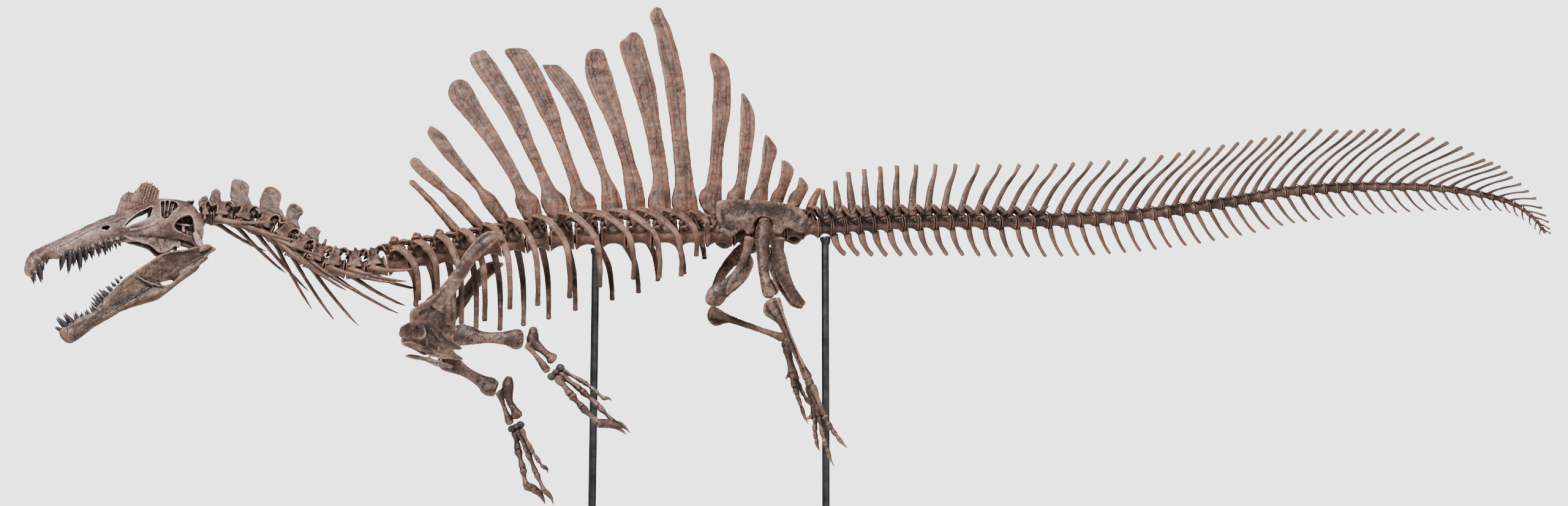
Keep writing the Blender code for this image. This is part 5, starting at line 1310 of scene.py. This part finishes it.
spots = []
for u, tip_u, tip_v in UPPER_TEETH:
    low = between([(row[0], row[2]) for row in HEAD_ROWS], u)
    out = flank(u, low + 0.030) * 0.86
    spots += [tooth_spot(head(u, low + 0.012, s * out), head(tip_u, tip_v, s * (out + 0.004)))
              for s in (LEFT, RIGHT)]
piece("upper_teeth", [scattered(tooth_master, spots, tooth_finish)], ["skull"], "fossil_bone", tooth_finish,
      rough=0.0)
spots = [tooth_spot(head(u, v, s * out), head(tip_u, tip_v, s * (out + 0.006)))
         for u, v, tip_u, tip_v, out in LOWER_TEETH for s in (LEFT, RIGHT)]
piece("lower_teeth", [scattered(tooth_master, spots, tooth_finish)], ["lower_jaw"], "fossil_bone",
      tooth_finish,
      rough=0.0)

# ------------------------------------------------------------------ hips and legs
# Hip blades with a swept-out upper rim, the pubis and ischium below them, and the legs: one bent
# under the body, one trailing down. Hips in mauve-grey, legs in brown casts.
ILIUM_OUT = 0.20
SOCKET_AT, SOCKET_RADIUS = (0.28, 0.01), 0.088
ILIUM_EDGE = ((0.44, -0.05), (0.50, 0.01), (0.59, -0.03), (0.66, -0.03), (0.715, 0.06), (0.64, 0.175),
              (0.48, 0.235), (0.29, 0.26), (0.04, 0.262), (-0.12, 0.25), (-0.158, 0.20),
              (-0.145, 0.05), (-0.10, -0.05), (-0.02, -0.085), (0.04, -0.05), (0.09, -0.02), (0.14, -0.06))


def ilium(side):
    def placed(x, z, w):
        return Vector((x, side * (ILIUM_OUT + 0.12 * max(0, z)) + w, z))
    notch = []
    for k in range(6):
        angle = math.radians(205 - 230 * k / 5)
        notch.append((SOCKET_AT[0] + SOCKET_RADIUS * math.cos(angle),
                      SOCKET_AT[1] + SOCKET_RADIUS * math.sin(angle)))
    outline = [(x, z, 0.024) for x, z in notch] + [(x, z, 0.024) for x, z in ILIUM_EDGE]
    dishes = [tube([(*placed(x, z, side * (0.026 + out - 0.016)), out, deep) for x, z, out, deep in rows],
                   28) for rows in (
        ((-0.10, 0.10, 0.06, 0.09), (0.03, 0.125, 0.08, 0.125), (0.20, 0.150, 0.08, 0.105),
         (0.36, 0.140, 0.08, 0.095),
         (0.52, 0.100, 0.07, 0.110), (0.62, 0.070, 0.06, 0.075)),)]
    shells = [carve(slab(outline, placed, 3), dishes)]
    shells.append(tube([(*placed(-0.10, -0.02, side * 0.012), 0.028, 0.030),
                        (*placed(-0.03, -0.055, side * 0.012), 0.034, 0.036),
                        (*placed(0.03, -0.03, side * 0.010), 0.024, 0.026)]))
    for x, z in ((0.0, 0.06), (0.18, 0.10), (0.40, 0.10), (0.58, 0.08)):
        shells.append(tube([(x, side * 0.07, z + 0.03, 0.03, 0.03), (x, side * ILIUM_OUT, z, 0.035, 0.04)],
                           across=(1, 0, 0)))
    return shells


def pubis(side):
    s = side
    rows = [(0.16, s * 0.17, -0.09, 0.034, 0.055), (0.14, s * 0.14, -0.17, 0.026, 0.042),
            (0.10, s * 0.11, -0.29, 0.024, 0.036),
            (0.04, s * 0.08, -0.40, 0.023, 0.036), (-0.05, s * 0.055, -0.49, 0.024, 0.044),
            (-0.115, s * 0.045, -0.560, 0.036, 0.082), (-0.145, s * 0.045, -0.615, 0.036, 0.092),
            (-0.150, s * 0.045, -0.665, 0.026, 0.066)]
    blade = slab([(0.13, -0.20, 0.012), (0.20, -0.27, 0.009), (0.19, -0.36, 0.008), (0.12, -0.46, 0.008),
                  (0.03, -0.54, 0.009),
                  (-0.05, -0.60, 0.012), (-0.04, -0.48, 0.014), (0.05, -0.36, 0.014)],
                 lambda x, z, w: Vector((x, s * (0.10 + 0.10 * (z + 0.3)) + w, z)))
    dish = tube([(-0.125, s * 0.086, -0.585, 0.012, 0.050), (-0.150, s * 0.086, -0.640, 0.012, 0.044)], 16)
    return [carve(tube(rows, 18), [dish]), blade]


def ischium(side):
    s = side
    rows = [(0.41, s * 0.17, -0.09, 0.030, 0.078), (0.42, s * 0.145, -0.18, 0.022, 0.060),
            (0.435, s * 0.12, -0.28, 0.018, 0.074),
            (0.485, s * 0.09, -0.43, 0.018, 0.064), (0.545, s * 0.065, -0.55, 0.020, 0.056),
            (0.60, s * 0.055, -0.625, 0.024, 0.056),
            (0.668, s * 0.05, -0.668, 0.015, 0.030)]
    return [tube(rows)]


# Each leg: hip, knee, the thigh bone's bow forward, top of the shin, ankle, clear space above the
# foot, ball of the foot and step between its toes, then the toe tips, inner first, and small toe.
LEGS = {
    LEFT: {"hip": (0.28, -0.29, 0.00), "knee": (0.295, -0.37, -0.68), "bow": 0.03,
           "shin top": (0.325, -0.375, -0.735), "ankle": (0.635, -0.41, -1.44), "foot gap": 0.012,
           "ball": (0.73, -0.42, -1.78), "spread": (0.03, -0.06, 0.0),
           "toes": ((0.74, -0.33, -2.07), (0.85, -0.42, -2.22), (0.96, -0.50, -2.07)),
           "small toe": (0.62, -0.36, -1.80)},
    RIGHT: {"hip": (0.29, 0.29, 0.01), "knee": (-0.14, 0.37, -0.55), "bow": 0.08,
            "shin top": (-0.145, 0.375, -0.66), "ankle": (0.54, 0.41, -0.885), "foot gap": 0.045,
            "ball": (0.63, 0.42, -1.24), "spread": (0.03, 0.06, 0.0),
            "toes": ((0.70, 0.33, -1.56), (0.76, 0.42, -1.70), (0.82, 0.50, -1.53)),
            "small toe": (0.55, 0.36, -1.30)},
}
ACROSS = Vector((0, 1, 0))


def bone_row(point, wide, deep):
    return (*point, wide, deep)


def femur(side):
    hip, knee = Vector(LEGS[side]["hip"]), Vector(LEGS[side]["knee"])
    down = (knee - hip).normalized()
    fore = ACROSS.cross(down).normalized()
    bow = fore * LEGS[side]["bow"]
    rows = [bone_row(hip - down * 0.05, 0.035, 0.048), bone_row(hip + down * 0.03, 0.050, 0.070),
            bone_row(hip.lerp(knee, 0.2) + bow * 0.7, 0.046, 0.068),
            bone_row(hip.lerp(knee, 0.36) + bow, 0.042, 0.060),
            bone_row(hip.lerp(knee, 0.62) + bow, 0.038, 0.049),
            bone_row(hip.lerp(knee, 0.80) + bow * 0.5, 0.048, 0.052),
            bone_row(hip.lerp(knee, 0.92) + bow * 0.2, 0.058, 0.052),
            bone_row(knee - down * 0.012, 0.050, 0.048)]
    shells = [tube(rows, sides=20)]
    head_end = Vector((SOCKET_AT[0], side * 0.16, SOCKET_AT[1]))
    shells.append(tube([bone_row(hip + down * 0.02, 0.045, 0.05),
                        bone_row(hip.lerp(head_end, 0.5), 0.045, 0.045),
                        bone_row(head_end, 0.062, 0.062)], across=(1, 0, 0), sides=18))
    for out in (-1, 1):
        shells.append(tube([bone_row(knee - down * 0.10 + ACROSS * out * 0.03, 0.024, 0.036),
                            bone_row(knee - down * 0.03 + ACROSS * out * 0.034 - fore * 0.018, 0.030, 0.046),
                            bone_row(knee + ACROSS * out * 0.032 - fore * 0.02, 0.024, 0.034)]))
    shells.append(tube([bone_row(knee - down * 0.15 - fore * 0.030, 0.018, 0.022),
                        bone_row(knee - down * 0.08 - fore * 0.066, 0.026, 0.032),
                        bone_row(knee - down * 0.03 - fore * 0.060, 0.026, 0.032)]))
    shells.append(tube([bone_row(hip + fore * 0.045, 0.014, 0.024),
                        bone_row(hip.lerp(knee, 0.10) + fore * 0.065, 0.014, 0.024),
                        bone_row(hip.lerp(knee, 0.2) + fore * 0.05 + bow * 0.7, 0.010, 0.012)]))
    shells.append(tube([bone_row(hip.lerp(knee, 0.28) - fore * 0.045 + bow, 0.012, 0.016),
                        bone_row(hip.lerp(knee, 0.38) - fore * 0.058 + bow, 0.012, 0.020),
                        bone_row(hip.lerp(knee, 0.46) - fore * 0.035 + bow, 0.008, 0.010)]))
    return shells


def shin(side):
    top, ankle = Vector(LEGS[side]["shin top"]), Vector(LEGS[side]["ankle"])
    down = (ankle - top).normalized()
    fore = down.cross(ACROSS).normalized()
    if fore.x > 0:
        fore = -fore
    rows = [bone_row(top, 0.054, 0.070), bone_row(top + down * 0.05, 0.050, 0.066),
            bone_row(top.lerp(ankle, 0.18), 0.036, 0.046),
            bone_row(top.lerp(ankle, 0.35), 0.029, 0.033), bone_row(top.lerp(ankle, 0.70), 0.027, 0.029),
            bone_row(top.lerp(ankle, 0.86), 0.034, 0.034), bone_row(top.lerp(ankle, 0.96), 0.050, 0.046),
            bone_row(ankle - down * 0.008, 0.044, 0.040)]
    shells = [tube(rows, sides=18)]
    shells.append(tube([bone_row(top + fore * 0.05, 0.018, 0.026),
                        bone_row(top + down * 0.07 + fore * 0.085, 0.015, 0.028),
                        bone_row(top.lerp(ankle, 0.20) + fore * 0.045, 0.011, 0.018),
                        bone_row(top.lerp(ankle, 0.28) + fore * 0.02, 0.008, 0.010)]))
    out = ACROSS * side
    shells.append(tube([bone_row(top + out * 0.045 - fore * 0.05, 0.018, 0.030),
                        bone_row(top.lerp(ankle, 0.10) + out * 0.047 - fore * 0.045, 0.012, 0.020),
                        bone_row(top.lerp(ankle, 0.30) + out * 0.045 - fore * 0.028, 0.009, 0.012),
                        bone_row(top.lerp(ankle, 0.7) + out * 0.036 - fore * 0.01, 0.009, 0.011),
                        bone_row(top.lerp(ankle, 0.95) + out * 0.032, 0.015, 0.017)]))
    return shells


def knuckled(a, b, radius, waist=0.60, sides=12):
    """A finger or toe bone from a to b: a thin shaft between two knuckles."""
    a, b = Vector(a), Vector(b)
    rows = [bone_row(a.lerp(b, 0.05), radius * 0.92, radius * 0.92),
            bone_row(a.lerp(b, 0.16), radius * 0.95, radius),
            bone_row(a.lerp(b, 0.42), radius * waist, radius * waist),
            bone_row(a.lerp(b, 0.62), radius * waist, radius * waist),
            bone_row(a.lerp(b, 0.86), radius * 0.88, radius * 0.86),
            bone_row(a.lerp(b, 0.95), radius * 0.80, radius * 0.80)]
    return tube(rows, sides=sides)


def claw(a, b, radius, hook):
    """A claw from a to b that bows by `hook` towards the front and tapers to its tip."""
    a, b = Vector(a), Vector(b)
    rows = [bone_row(a, radius * 0.7, radius * 0.95),
            bone_row(a.lerp(b, 0.25) + hook * 0.8, radius * 0.55, radius * 0.92),
            bone_row(a.lerp(b, 0.55) + hook, radius * 0.40, radius * 0.66),
            bone_row(a.lerp(b, 0.82) + hook * 0.55, radius * 0.24, radius * 0.36),
            bone_row(b, 0.004, 0.005)]
    return tube(rows, sides=12)


def foot(side):
    leg = LEGS[side]
    ankle, ball = Vector(leg["ankle"]), Vector(leg["ball"])
    down = (ball - ankle).normalized()
    spread = Vector(leg["spread"])
    start = ankle + down * leg["foot gap"]
    shells = [tube([bone_row(start, 0.052, 0.040), bone_row(start + down * 0.04, 0.056, 0.040)])]
    for number, tip in zip((-1, 0, 1), leg["toes"]):
        tip = Vector(tip)
        root = start + down * 0.045 + spread * number * 0.5
        knuckle = ball + spread * number
        shells.append(knuckled(root, knuckle, 0.033, 0.66))
        bow = Vector((-0.018, 0, 0))
        marks = [knuckle, knuckle.lerp(tip, 0.30) + bow, knuckle.lerp(tip, 0.52) + bow * 1.2,
                 knuckle.lerp(tip, 0.70) + bow]
        for k, (a, b) in enumerate(zip(marks, marks[1:])):
            shells.append(knuckled(a, b, 0.031 - 0.003 * k, 0.68))
        shells.append(claw(marks[-1], tip, 0.024, Vector((-0.008, 0, 0.004))))
    small = Vector(leg["small toe"])
    root = ankle.lerp(ball, 0.72) - spread * 0.9
    shells.append(knuckled(root, root.lerp(small, 0.5) + down * 0.03, 0.020))
    shells.append(claw(root.lerp(small, 0.5) + down * 0.03, small, 0.018, Vector((-0.01, 0, 0))))
    return shells


for side, word in SIDES:
    for name, shells, voxel, slot, finish in (
            ("ilium", ilium(side), 0.0070, "grey_bone", hip_bone),
            ("pubis", pubis(side), 0.0070, "grey_bone", hip_bone),
            ("ischium", ischium(side), 0.0070, "grey_bone", hip_bone),
            ("thigh", femur(side), 0.0070, "fossil_bone", brown_bone),
            ("shin", shin(side), 0.0065, "fossil_bone", brown_bone),
            ("foot", foot(side), 0.0056, "fossil_bone", brown_bone)):
        piece(f"{name}_{word}_cast", [fuse(shells, voxel, 5)], [f"{name}_{word}"], slot, finish, rough=0.0032)

# ------------------------------------------------------------------ shoulders and arms
# Long shoulder blades with the broad plate below, upper arms, paired forearm bones, and hands with
# three clawed fingers, the inner one the largest. Mauve-grey casts, forearms brown.
BLADE = ((-2.06, -0.195), (-2.11, -0.172), (-2.18, -0.168), (-2.245, -0.195), (-2.31, -0.256),
         (-2.41, -0.393),
         (-2.51, -0.580), (-2.64, -0.732), (-2.80, -0.840), (-2.845, -0.880), (-2.853, -0.940),
         (-2.837, -0.990),
         (-2.74, -0.995), (-2.54, -1.005), (-2.49, -0.970), (-2.48, -0.930), (-2.485, -0.870),
         (-2.505, -0.834),
         (-2.48, -0.756), (-2.39, -0.607), (-2.28, -0.430), (-2.12, -0.265))
CORACOID = ((-2.79, -0.95), (-2.61, -0.96), (-2.50, -1.00), (-2.478, -1.086), (-2.396, -1.153),
            (-2.422, -1.175),
            (-2.50, -1.169), (-2.594, -1.152), (-2.673, -1.124), (-2.740, -1.054))
INNER_LOBE = ((-2.80, -0.925), (-2.90, -0.938), (-2.943, -0.959), (-2.954, -1.028), (-2.920, -1.062),
              (-2.840, -1.082),
              (-2.760, -1.110), (-2.700, -1.080), (-2.72, -1.00))
BREAST_STRIP = ((-2.922, -1.135), (-2.860, -1.111), (-2.740, -1.137), (-2.607, -1.183), (-2.491, -1.229),
                (-2.513, -1.253), (-2.632, -1.241), (-2.738, -1.194), (-2.858, -1.166))


def shoulder_out(z):
    """How far out the shoulder's plate lies at height z."""
    return between(((-1.20, 0.20), (-0.95, 0.39), (-0.80, 0.45), (-0.15, 0.52)), z)


def shoulder(side):
    def placed(x, z, w):
        return Vector((x, side * shoulder_out(z) + w, z))
    hollows = [tube([(*placed(x, z, side * 0.032), 0.020, deep) for x, z, deep in rows], 16) for rows in (
        ((-2.76, -0.915, 0.030), (-2.68, -0.895, 0.040)), ((-2.60, -0.88, 0.022), (-2.56, -0.80, 0.020)))]
    shells = [carve(slab([(x, z, 0.016 if z > -0.7 else 0.026) for x, z in BLADE], placed), hollows),
              slab([(x, z, 0.013) for x, z in CORACOID], placed),
              slab([(x, z, 0.018) for x, z in INNER_LOBE],
                   lambda x, z, w: Vector((x, side * (0.36 + 1.0 * min(0.0, x + 2.72)) + w, z))),
              slab([(x, z, 0.009) for x, z in BREAST_STRIP], placed)]
    spine = ((-2.13, -0.205, 0.026), (-2.28, -0.320, 0.040), (-2.42, -0.52, 0.050), (-2.53, -0.70, 0.070),
             (-2.64, -0.84, 0.100))
    shells.append(tube([(*placed(x, z, side * 0.006), 0.018, deep) for x, z, deep in spine], 18))
    shells.append(tube([(*placed(-2.52, -0.80, 0), 0.028, 0.03),
                        (*placed(-2.52, -0.90, side * 0.005), 0.040, 0.045),
                        (*placed(-2.51, -0.965, side * 0.005), 0.036, 0.045)]))
    for k, (x, z) in enumerate(((-2.74, -1.02), (-2.66, -1.04), (-2.58, -1.05), (-2.52, -1.08))):
        shells.append(tube([(*placed(x, z + 0.03, side * 0.006), 0.013, 0.016),
                            (*placed(x + 0.05, z - 0.03, side * 0.012), 0.011, 0.013),
                            (*placed(x + 0.11, z - 0.075, side * 0.006), 0.008, 0.009)], 10))
    for x, z in ((-2.70, -1.10), (-2.60, -1.13)):
        shells.append(tube([(*placed(x, z, 0), 0.010, 0.014), (*placed(x, z - 0.07, 0), 0.009, 0.014)], 10))
    return shells


ARMS = {
    LEFT: {"upper": ((-2.46, -0.475, -1.085), (-2.26, -0.50, -1.12), (-2.02, -0.52, -1.13),
                     (-1.89, -0.525, -1.14)),
           "ulna": ((-1.785, -0.53, -1.04), (-1.785, -0.535, -1.16), (-1.70, -0.545, -1.24),
                    (-1.61, -0.555, -1.32)),
           "radius": ((-1.83, -0.56, -1.20), (-1.76, -0.565, -1.29), (-1.66, -0.575, -1.42)),
           "wrist": ((-1.62, -0.575, -1.47), (-1.545, -0.565, -1.39)),
           "fingers": (((-1.57, -0.60, -1.51), (-1.455, -0.62, -1.64), (-1.36, -0.63, -1.75),
                        (-1.22, -0.64, -1.89), (-0.98, -0.65, -1.99)),
                       ((-1.54, -0.58, -1.46), (-1.37, -0.59, -1.59), (-1.22, -0.60, -1.73),
                        (-1.08, -0.61, -1.88), (-0.95, -0.62, -1.97)),
                       ((-1.52, -0.55, -1.40), (-1.35, -0.55, -1.51), (-1.25, -0.55, -1.59),
                        (-1.17, -0.55, -1.66), (-1.10, -0.55, -1.69)))},
    RIGHT: {"upper": ((-2.60, 0.46, -1.10), (-2.43, 0.47, -1.20), (-2.24, 0.49, -1.31),
                      (-2.13, 0.50, -1.38)),
            "ulna": ((-1.995, 0.50, -1.27), (-2.00, 0.50, -1.36), (-1.985, 0.505, -1.48),
                     (-1.905, 0.51, -1.63)),
            "radius": ((-2.075, 0.53, -1.41), (-2.03, 0.535, -1.54), (-1.975, 0.54, -1.685)),
            "wrist": ((-1.955, 0.53, -1.74), (-1.875, 0.52, -1.70)),
            "fingers": (((-1.93, 0.56, -1.78), (-1.90, 0.58, -1.92), (-1.85, 0.59, -2.09),
                         (-1.82, 0.60, -2.25), (-1.64, 0.61, -2.42)),
                        ((-1.90, 0.54, -1.76), (-1.81, 0.55, -1.95), (-1.73, 0.56, -2.14),
                         (-1.655, 0.565, -2.30), (-1.57, 0.57, -2.43)),
                        ((-1.85, 0.51, -1.75), (-1.78, 0.51, -1.93), (-1.72, 0.51, -2.02),
                         (-1.67, 0.51, -2.09), (-1.63, 0.51, -2.15)))},
}


def humerus(side):
    a, b, c, d = [Vector(p) for p in ARMS[side]["upper"]]
    rows = [bone_row(a, 0.042, 0.076), bone_row(a.lerp(b, 0.30), 0.048, 0.098),
            bone_row(a.lerp(b, 0.70), 0.044, 0.082),
            bone_row(b, 0.038, 0.062), bone_row(b.lerp(c, 0.45), 0.034, 0.050), bone_row(c, 0.038, 0.064),
            bone_row(c.lerp(d, 0.6), 0.048, 0.092), bone_row(d, 0.044, 0.084)]
    shells = [tube(rows, sides=18)]
    shells.append(tube([bone_row(a.lerp(b, 0.1) + Vector((0, 0, 0.02)), 0.016, 0.03),
                        bone_row(a.lerp(b, 0.6) + Vector((0, 0, 0.066)), 0.013, 0.026),
                        bone_row(b.lerp(c, 0.2) + Vector((0, 0, 0.03)), 0.012, 0.018)]))
    for out in (-1, 1):
        shells.append(tube([bone_row(d.lerp(c, 0.4) + Vector((0, 0, out * 0.035)), 0.030, 0.026),
                            bone_row(d + Vector((0, 0, out * 0.040)), 0.034, 0.032)]))
    return shells


def forearm(side):
    a, b, c, d = [Vector(p) for p in ARMS[side]["ulna"]]
    e, f, g = [Vector(p) for p in ARMS[side]["radius"]]
    return [tube([bone_row(a, 0.024, 0.034), bone_row(a.lerp(b, 0.5), 0.032, 0.050),
                  bone_row(b, 0.036, 0.054), bone_row(c, 0.026, 0.034),
                  bone_row(c.lerp(d, 0.5), 0.026, 0.036), bone_row(c.lerp(d, 0.85), 0.036, 0.054),
                  bone_row(d, 0.034, 0.048)], sides=16),
            tube([bone_row(e, 0.030, 0.038), bone_row(e.lerp(f, 0.5), 0.020, 0.026),
                  bone_row(f, 0.018, 0.022),
                  bone_row(f.lerp(g, 0.75), 0.026, 0.036), bone_row(g, 0.028, 0.040)], sides=14),
            tube([bone_row(b, 0.026, 0.026), bone_row(e, 0.026, 0.026)])]


def hand(side):
    wrist, fingers = ARMS[side]["wrist"], ARMS[side]["fingers"]
    a, b = Vector(wrist[0]), Vector(wrist[1])
    shells = [tube([bone_row(a, 0.026, 0.026), bone_row(b, 0.026, 0.026)])]
    for number, (points, radius) in enumerate(zip(fingers, (0.042, 0.036, 0.028))):
        points = [Vector(p) for p in points]
        root = points[0].lerp((a + b) / 2, 0.35)
        marks = [root] + points[1:4]
        for k, (p, q) in enumerate(zip(marks, marks[1:])):
            shells.append(knuckled(p, q, radius * (1 - 0.08 * k), 0.62))
        run = points[4] - points[3]
        hook = Vector((run.z, 0, -run.x)).normalized() * (-0.02 if number else -0.035)
        shells.append(claw(points[3], points[4], radius * (1.05 if number == 0 else 0.8), hook))
    return shells


def wrist_lumps(side):
    """The dark rounded bones between the forearm and the hand."""
    a, b = [Vector(p) for p in ARMS[side]["wrist"]]
    lumps = []
    for t, size in ((-0.05, 0.036), (0.45, 0.033), (0.95, 0.038)):
        spot = a.lerp(b, t) + Vector((0, 0.006 * side * (t - 0.5), 0))
        lumps.append(tube([bone_row(spot - ACROSS * 0.022, size * 0.9, size * 0.8),
                           bone_row(spot, size, size * 0.95),
                           bone_row(spot + ACROSS * 0.022, size * 0.9, size * 0.8)], 16, across=(1, 0, 0)))
    return lumps


for side, word in SIDES:
    piece(f"wrist_{word}_cast", [fuse(wrist_lumps(side), 0.0056, 4)], [f"hand_{word}"], "grey_bone",
          dark_bone,
          rough=0.0030)
    for name, shells, voxel, slot, finish in (
            ("shoulder", shoulder(side), 0.0078, "grey_bone", hip_bone),
            ("upper_arm", humerus(side), 0.0070, "grey_bone", hip_bone),
            ("forearm", forearm(side), 0.0065, "fossil_bone", brown_bone),
            ("hand", hand(side), 0.0056, "grey_bone", hip_bone)):
        piece(f"{name}_{word}_cast", [fuse(shells, voxel, 5)], [f"{name}_{word}"], slot, finish, rough=0.0032)

# ------------------------------------------------------------------ stand
# A low dark board with rounded corners, and two upright steel rods with bolted foot flanges and
# padded heads under the backbone.
BASE_LENGTH, BASE_WIDTH, BASE_HEIGHT = 4.2, 1.8, 0.06
ROD_RADIUS = 0.035


def stand_finish(name, low, high, metallic, rough, scale):
    made = bpy.data.materials.new(name)
    made.use_nodes = True
    nodes, link = made.node_tree.nodes, made.node_tree.links.new
    shader = nodes["Principled BSDF"]
    cloud = nodes.new("ShaderNodeTexNoise")
    cloud.inputs["Scale"].default_value = scale
    cloud.inputs["Detail"].default_value = 6.0
    ramp = nodes.new("ShaderNodeValToRGB")
    ramp.color_ramp.elements[0].position = 0.35
    ramp.color_ramp.elements[0].color = (*low, 1)
    ramp.color_ramp.elements[1].position = 0.65
    ramp.color_ramp.elements[1].color = (*high, 1)
    sheen = nodes.new("ShaderNodeMapRange")
    sheen.inputs["To Min"].default_value = rough - 0.1
    sheen.inputs["To Max"].default_value = rough + 0.1
    bump = nodes.new("ShaderNodeBump")
    bump.inputs["Strength"].default_value = 0.25
    bump.inputs["Distance"].default_value = 0.001
    fine = nodes.new("ShaderNodeTexNoise")
    fine.inputs["Scale"].default_value = scale * 40
    where = nodes.new("ShaderNodeTexCoord").outputs["Object"]
    for node in (cloud, fine):
        link(where, node.inputs["Vector"])
    link(cloud.outputs["Fac"], ramp.inputs["Fac"])
    link(ramp.outputs["Color"], shader.inputs["Base Color"])
    link(cloud.outputs["Fac"], sheen.inputs["Value"])
    link(sheen.outputs["Result"], shader.inputs["Roughness"])
    link(fine.outputs["Fac"], bump.inputs["Height"])
    link(bump.outputs["Normal"], shader.inputs["Normal"])
    shader.inputs["Metallic"].default_value = metallic
    return made


steel = stand_finish("blackened_steel", (0.030, 0.030, 0.033), (0.060, 0.060, 0.066), 0.9, 0.42, 9.0)
board = stand_finish("painted_board", (0.060, 0.060, 0.063), (0.085, 0.085, 0.088), 0.0, 0.55, 2.5)

bm = bmesh.new()
bmesh.ops.create_cube(bm, size=1.0)
bmesh.ops.scale(bm, verts=bm.verts, vec=(BASE_LENGTH, BASE_WIDTH, BASE_HEIGHT))
bmesh.ops.translate(bm, verts=bm.verts, vec=(0, 0, BASE_HEIGHT / 2))
corners = [e for e in bm.edges if abs(e.verts[0].co.z - e.verts[1].co.z) > BASE_HEIGHT / 2]
bmesh.ops.bevel(bm, geom=corners, offset=0.12, segments=12, affect="EDGES", profile=0.5)
rim = [e for e in bm.edges if all(v.co.z > BASE_HEIGHT / 2 for v in e.verts) and len(e.link_faces) == 2
       and e.calc_face_angle(0) > 0.5]
bmesh.ops.bevel(bm, geom=rim, offset=0.010, segments=4, affect="EDGES", profile=0.5)
base_mesh = bpy.data.meshes.new("stand_base_board")
bm.to_mesh(base_mesh)
bm.free()
base_mesh.materials.append(board)
base = bpy.data.objects.new("stand_base_board", base_mesh)
bpy.context.scene.collection.objects.link(base)
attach(base, "root")
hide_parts("stand_base")


def turned_shape(profile, sides=40):
    """A closed turned shape from (height, radius) steps."""
    verts = [(r * math.cos(2 * math.pi * k / sides), r * math.sin(2 * math.pi * k / sides), z)
             for z, r in profile for k in range(sides)]
    faces = [tuple(range(sides)), tuple(range((len(profile) - 1) * sides, len(profile) * sides))]
    for i in range(len(profile) - 1):
        for k in range(sides):
            n = (k + 1) % sides
            faces.append((i * sides + k, i * sides + n, (i + 1) * sides + n, (i + 1) * sides + k))
    return np.array(verts), faces


bolt_master = mesh_of([turned_shape(((0, 0.011), (0.008, 0.011), (0.0095, 0.0095)), 6),
                       turned_shape(((-0.001, 0.015), (0.0015, 0.015), (0.002, 0.014)), 16)])
for x, name in ((-1.27, "stand_rod_front"), (0.865, "stand_rod_rear")):
    middle, _, _, up = frame_at(distance_at(x))
    top = POSE @ (middle - up * (body_radius(x) + 0.002))
    along = (POSE.to_3x3() @ up).normalized()
    floor_z = BASE_HEIGHT + 0.0003
    verts, faces = turned_shape(((floor_z, 0.098), (floor_z + 0.002, 0.10), (floor_z + 0.016, 0.10),
                                 (floor_z + 0.018, 0.098),
                                 (floor_z + 0.0182, 0.046), (floor_z + 0.024, 0.040),
                                 (floor_z + 0.034, ROD_RADIUS),
                                 (top.z - 0.05, ROD_RADIUS)))
    shells = [(verts + np.array((top.x, top.y, 0)), faces)]
    pad, faces = turned_shape(((-0.075, 0.030), (-0.060, 0.040), (-0.028, 0.048), (-0.020, 0.050),
                               (-0.004, 0.050), (0, 0.047)))
    tilt = np.array(Vector((0, 0, 1)).rotation_difference(along).to_matrix())
    shells.append((pad @ tilt.T + np.array(top), faces))
    spots = [((top.x + 0.075 * math.cos(a), top.y + 0.075 * math.sin(a), floor_z + 0.018), (0, 0, a),
              (1, 1, 1))
             for a in [math.radians(45 + 90 * k) for k in range(4)]]
    rod_mesh = mesh_of(shells)
    bolts = scattered(bolt_master, spots, steel)
    bm = bmesh.new()
    bm.from_mesh(rod_mesh)
    bm.from_mesh(bolts)
    made = bpy.data.meshes.new(name + "_steel")
    bm.to_mesh(made)
    bm.free()
    made.materials.clear()
    made.materials.append(steel)
    for polygon in made.polygons:
        polygon.material_index = 0
        polygon.use_smooth = False
    rod = bpy.data.objects.new(name + "_steel", made)
    bpy.context.scene.collection.objects.link(rod)
    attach(rod, "root")
    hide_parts(name)
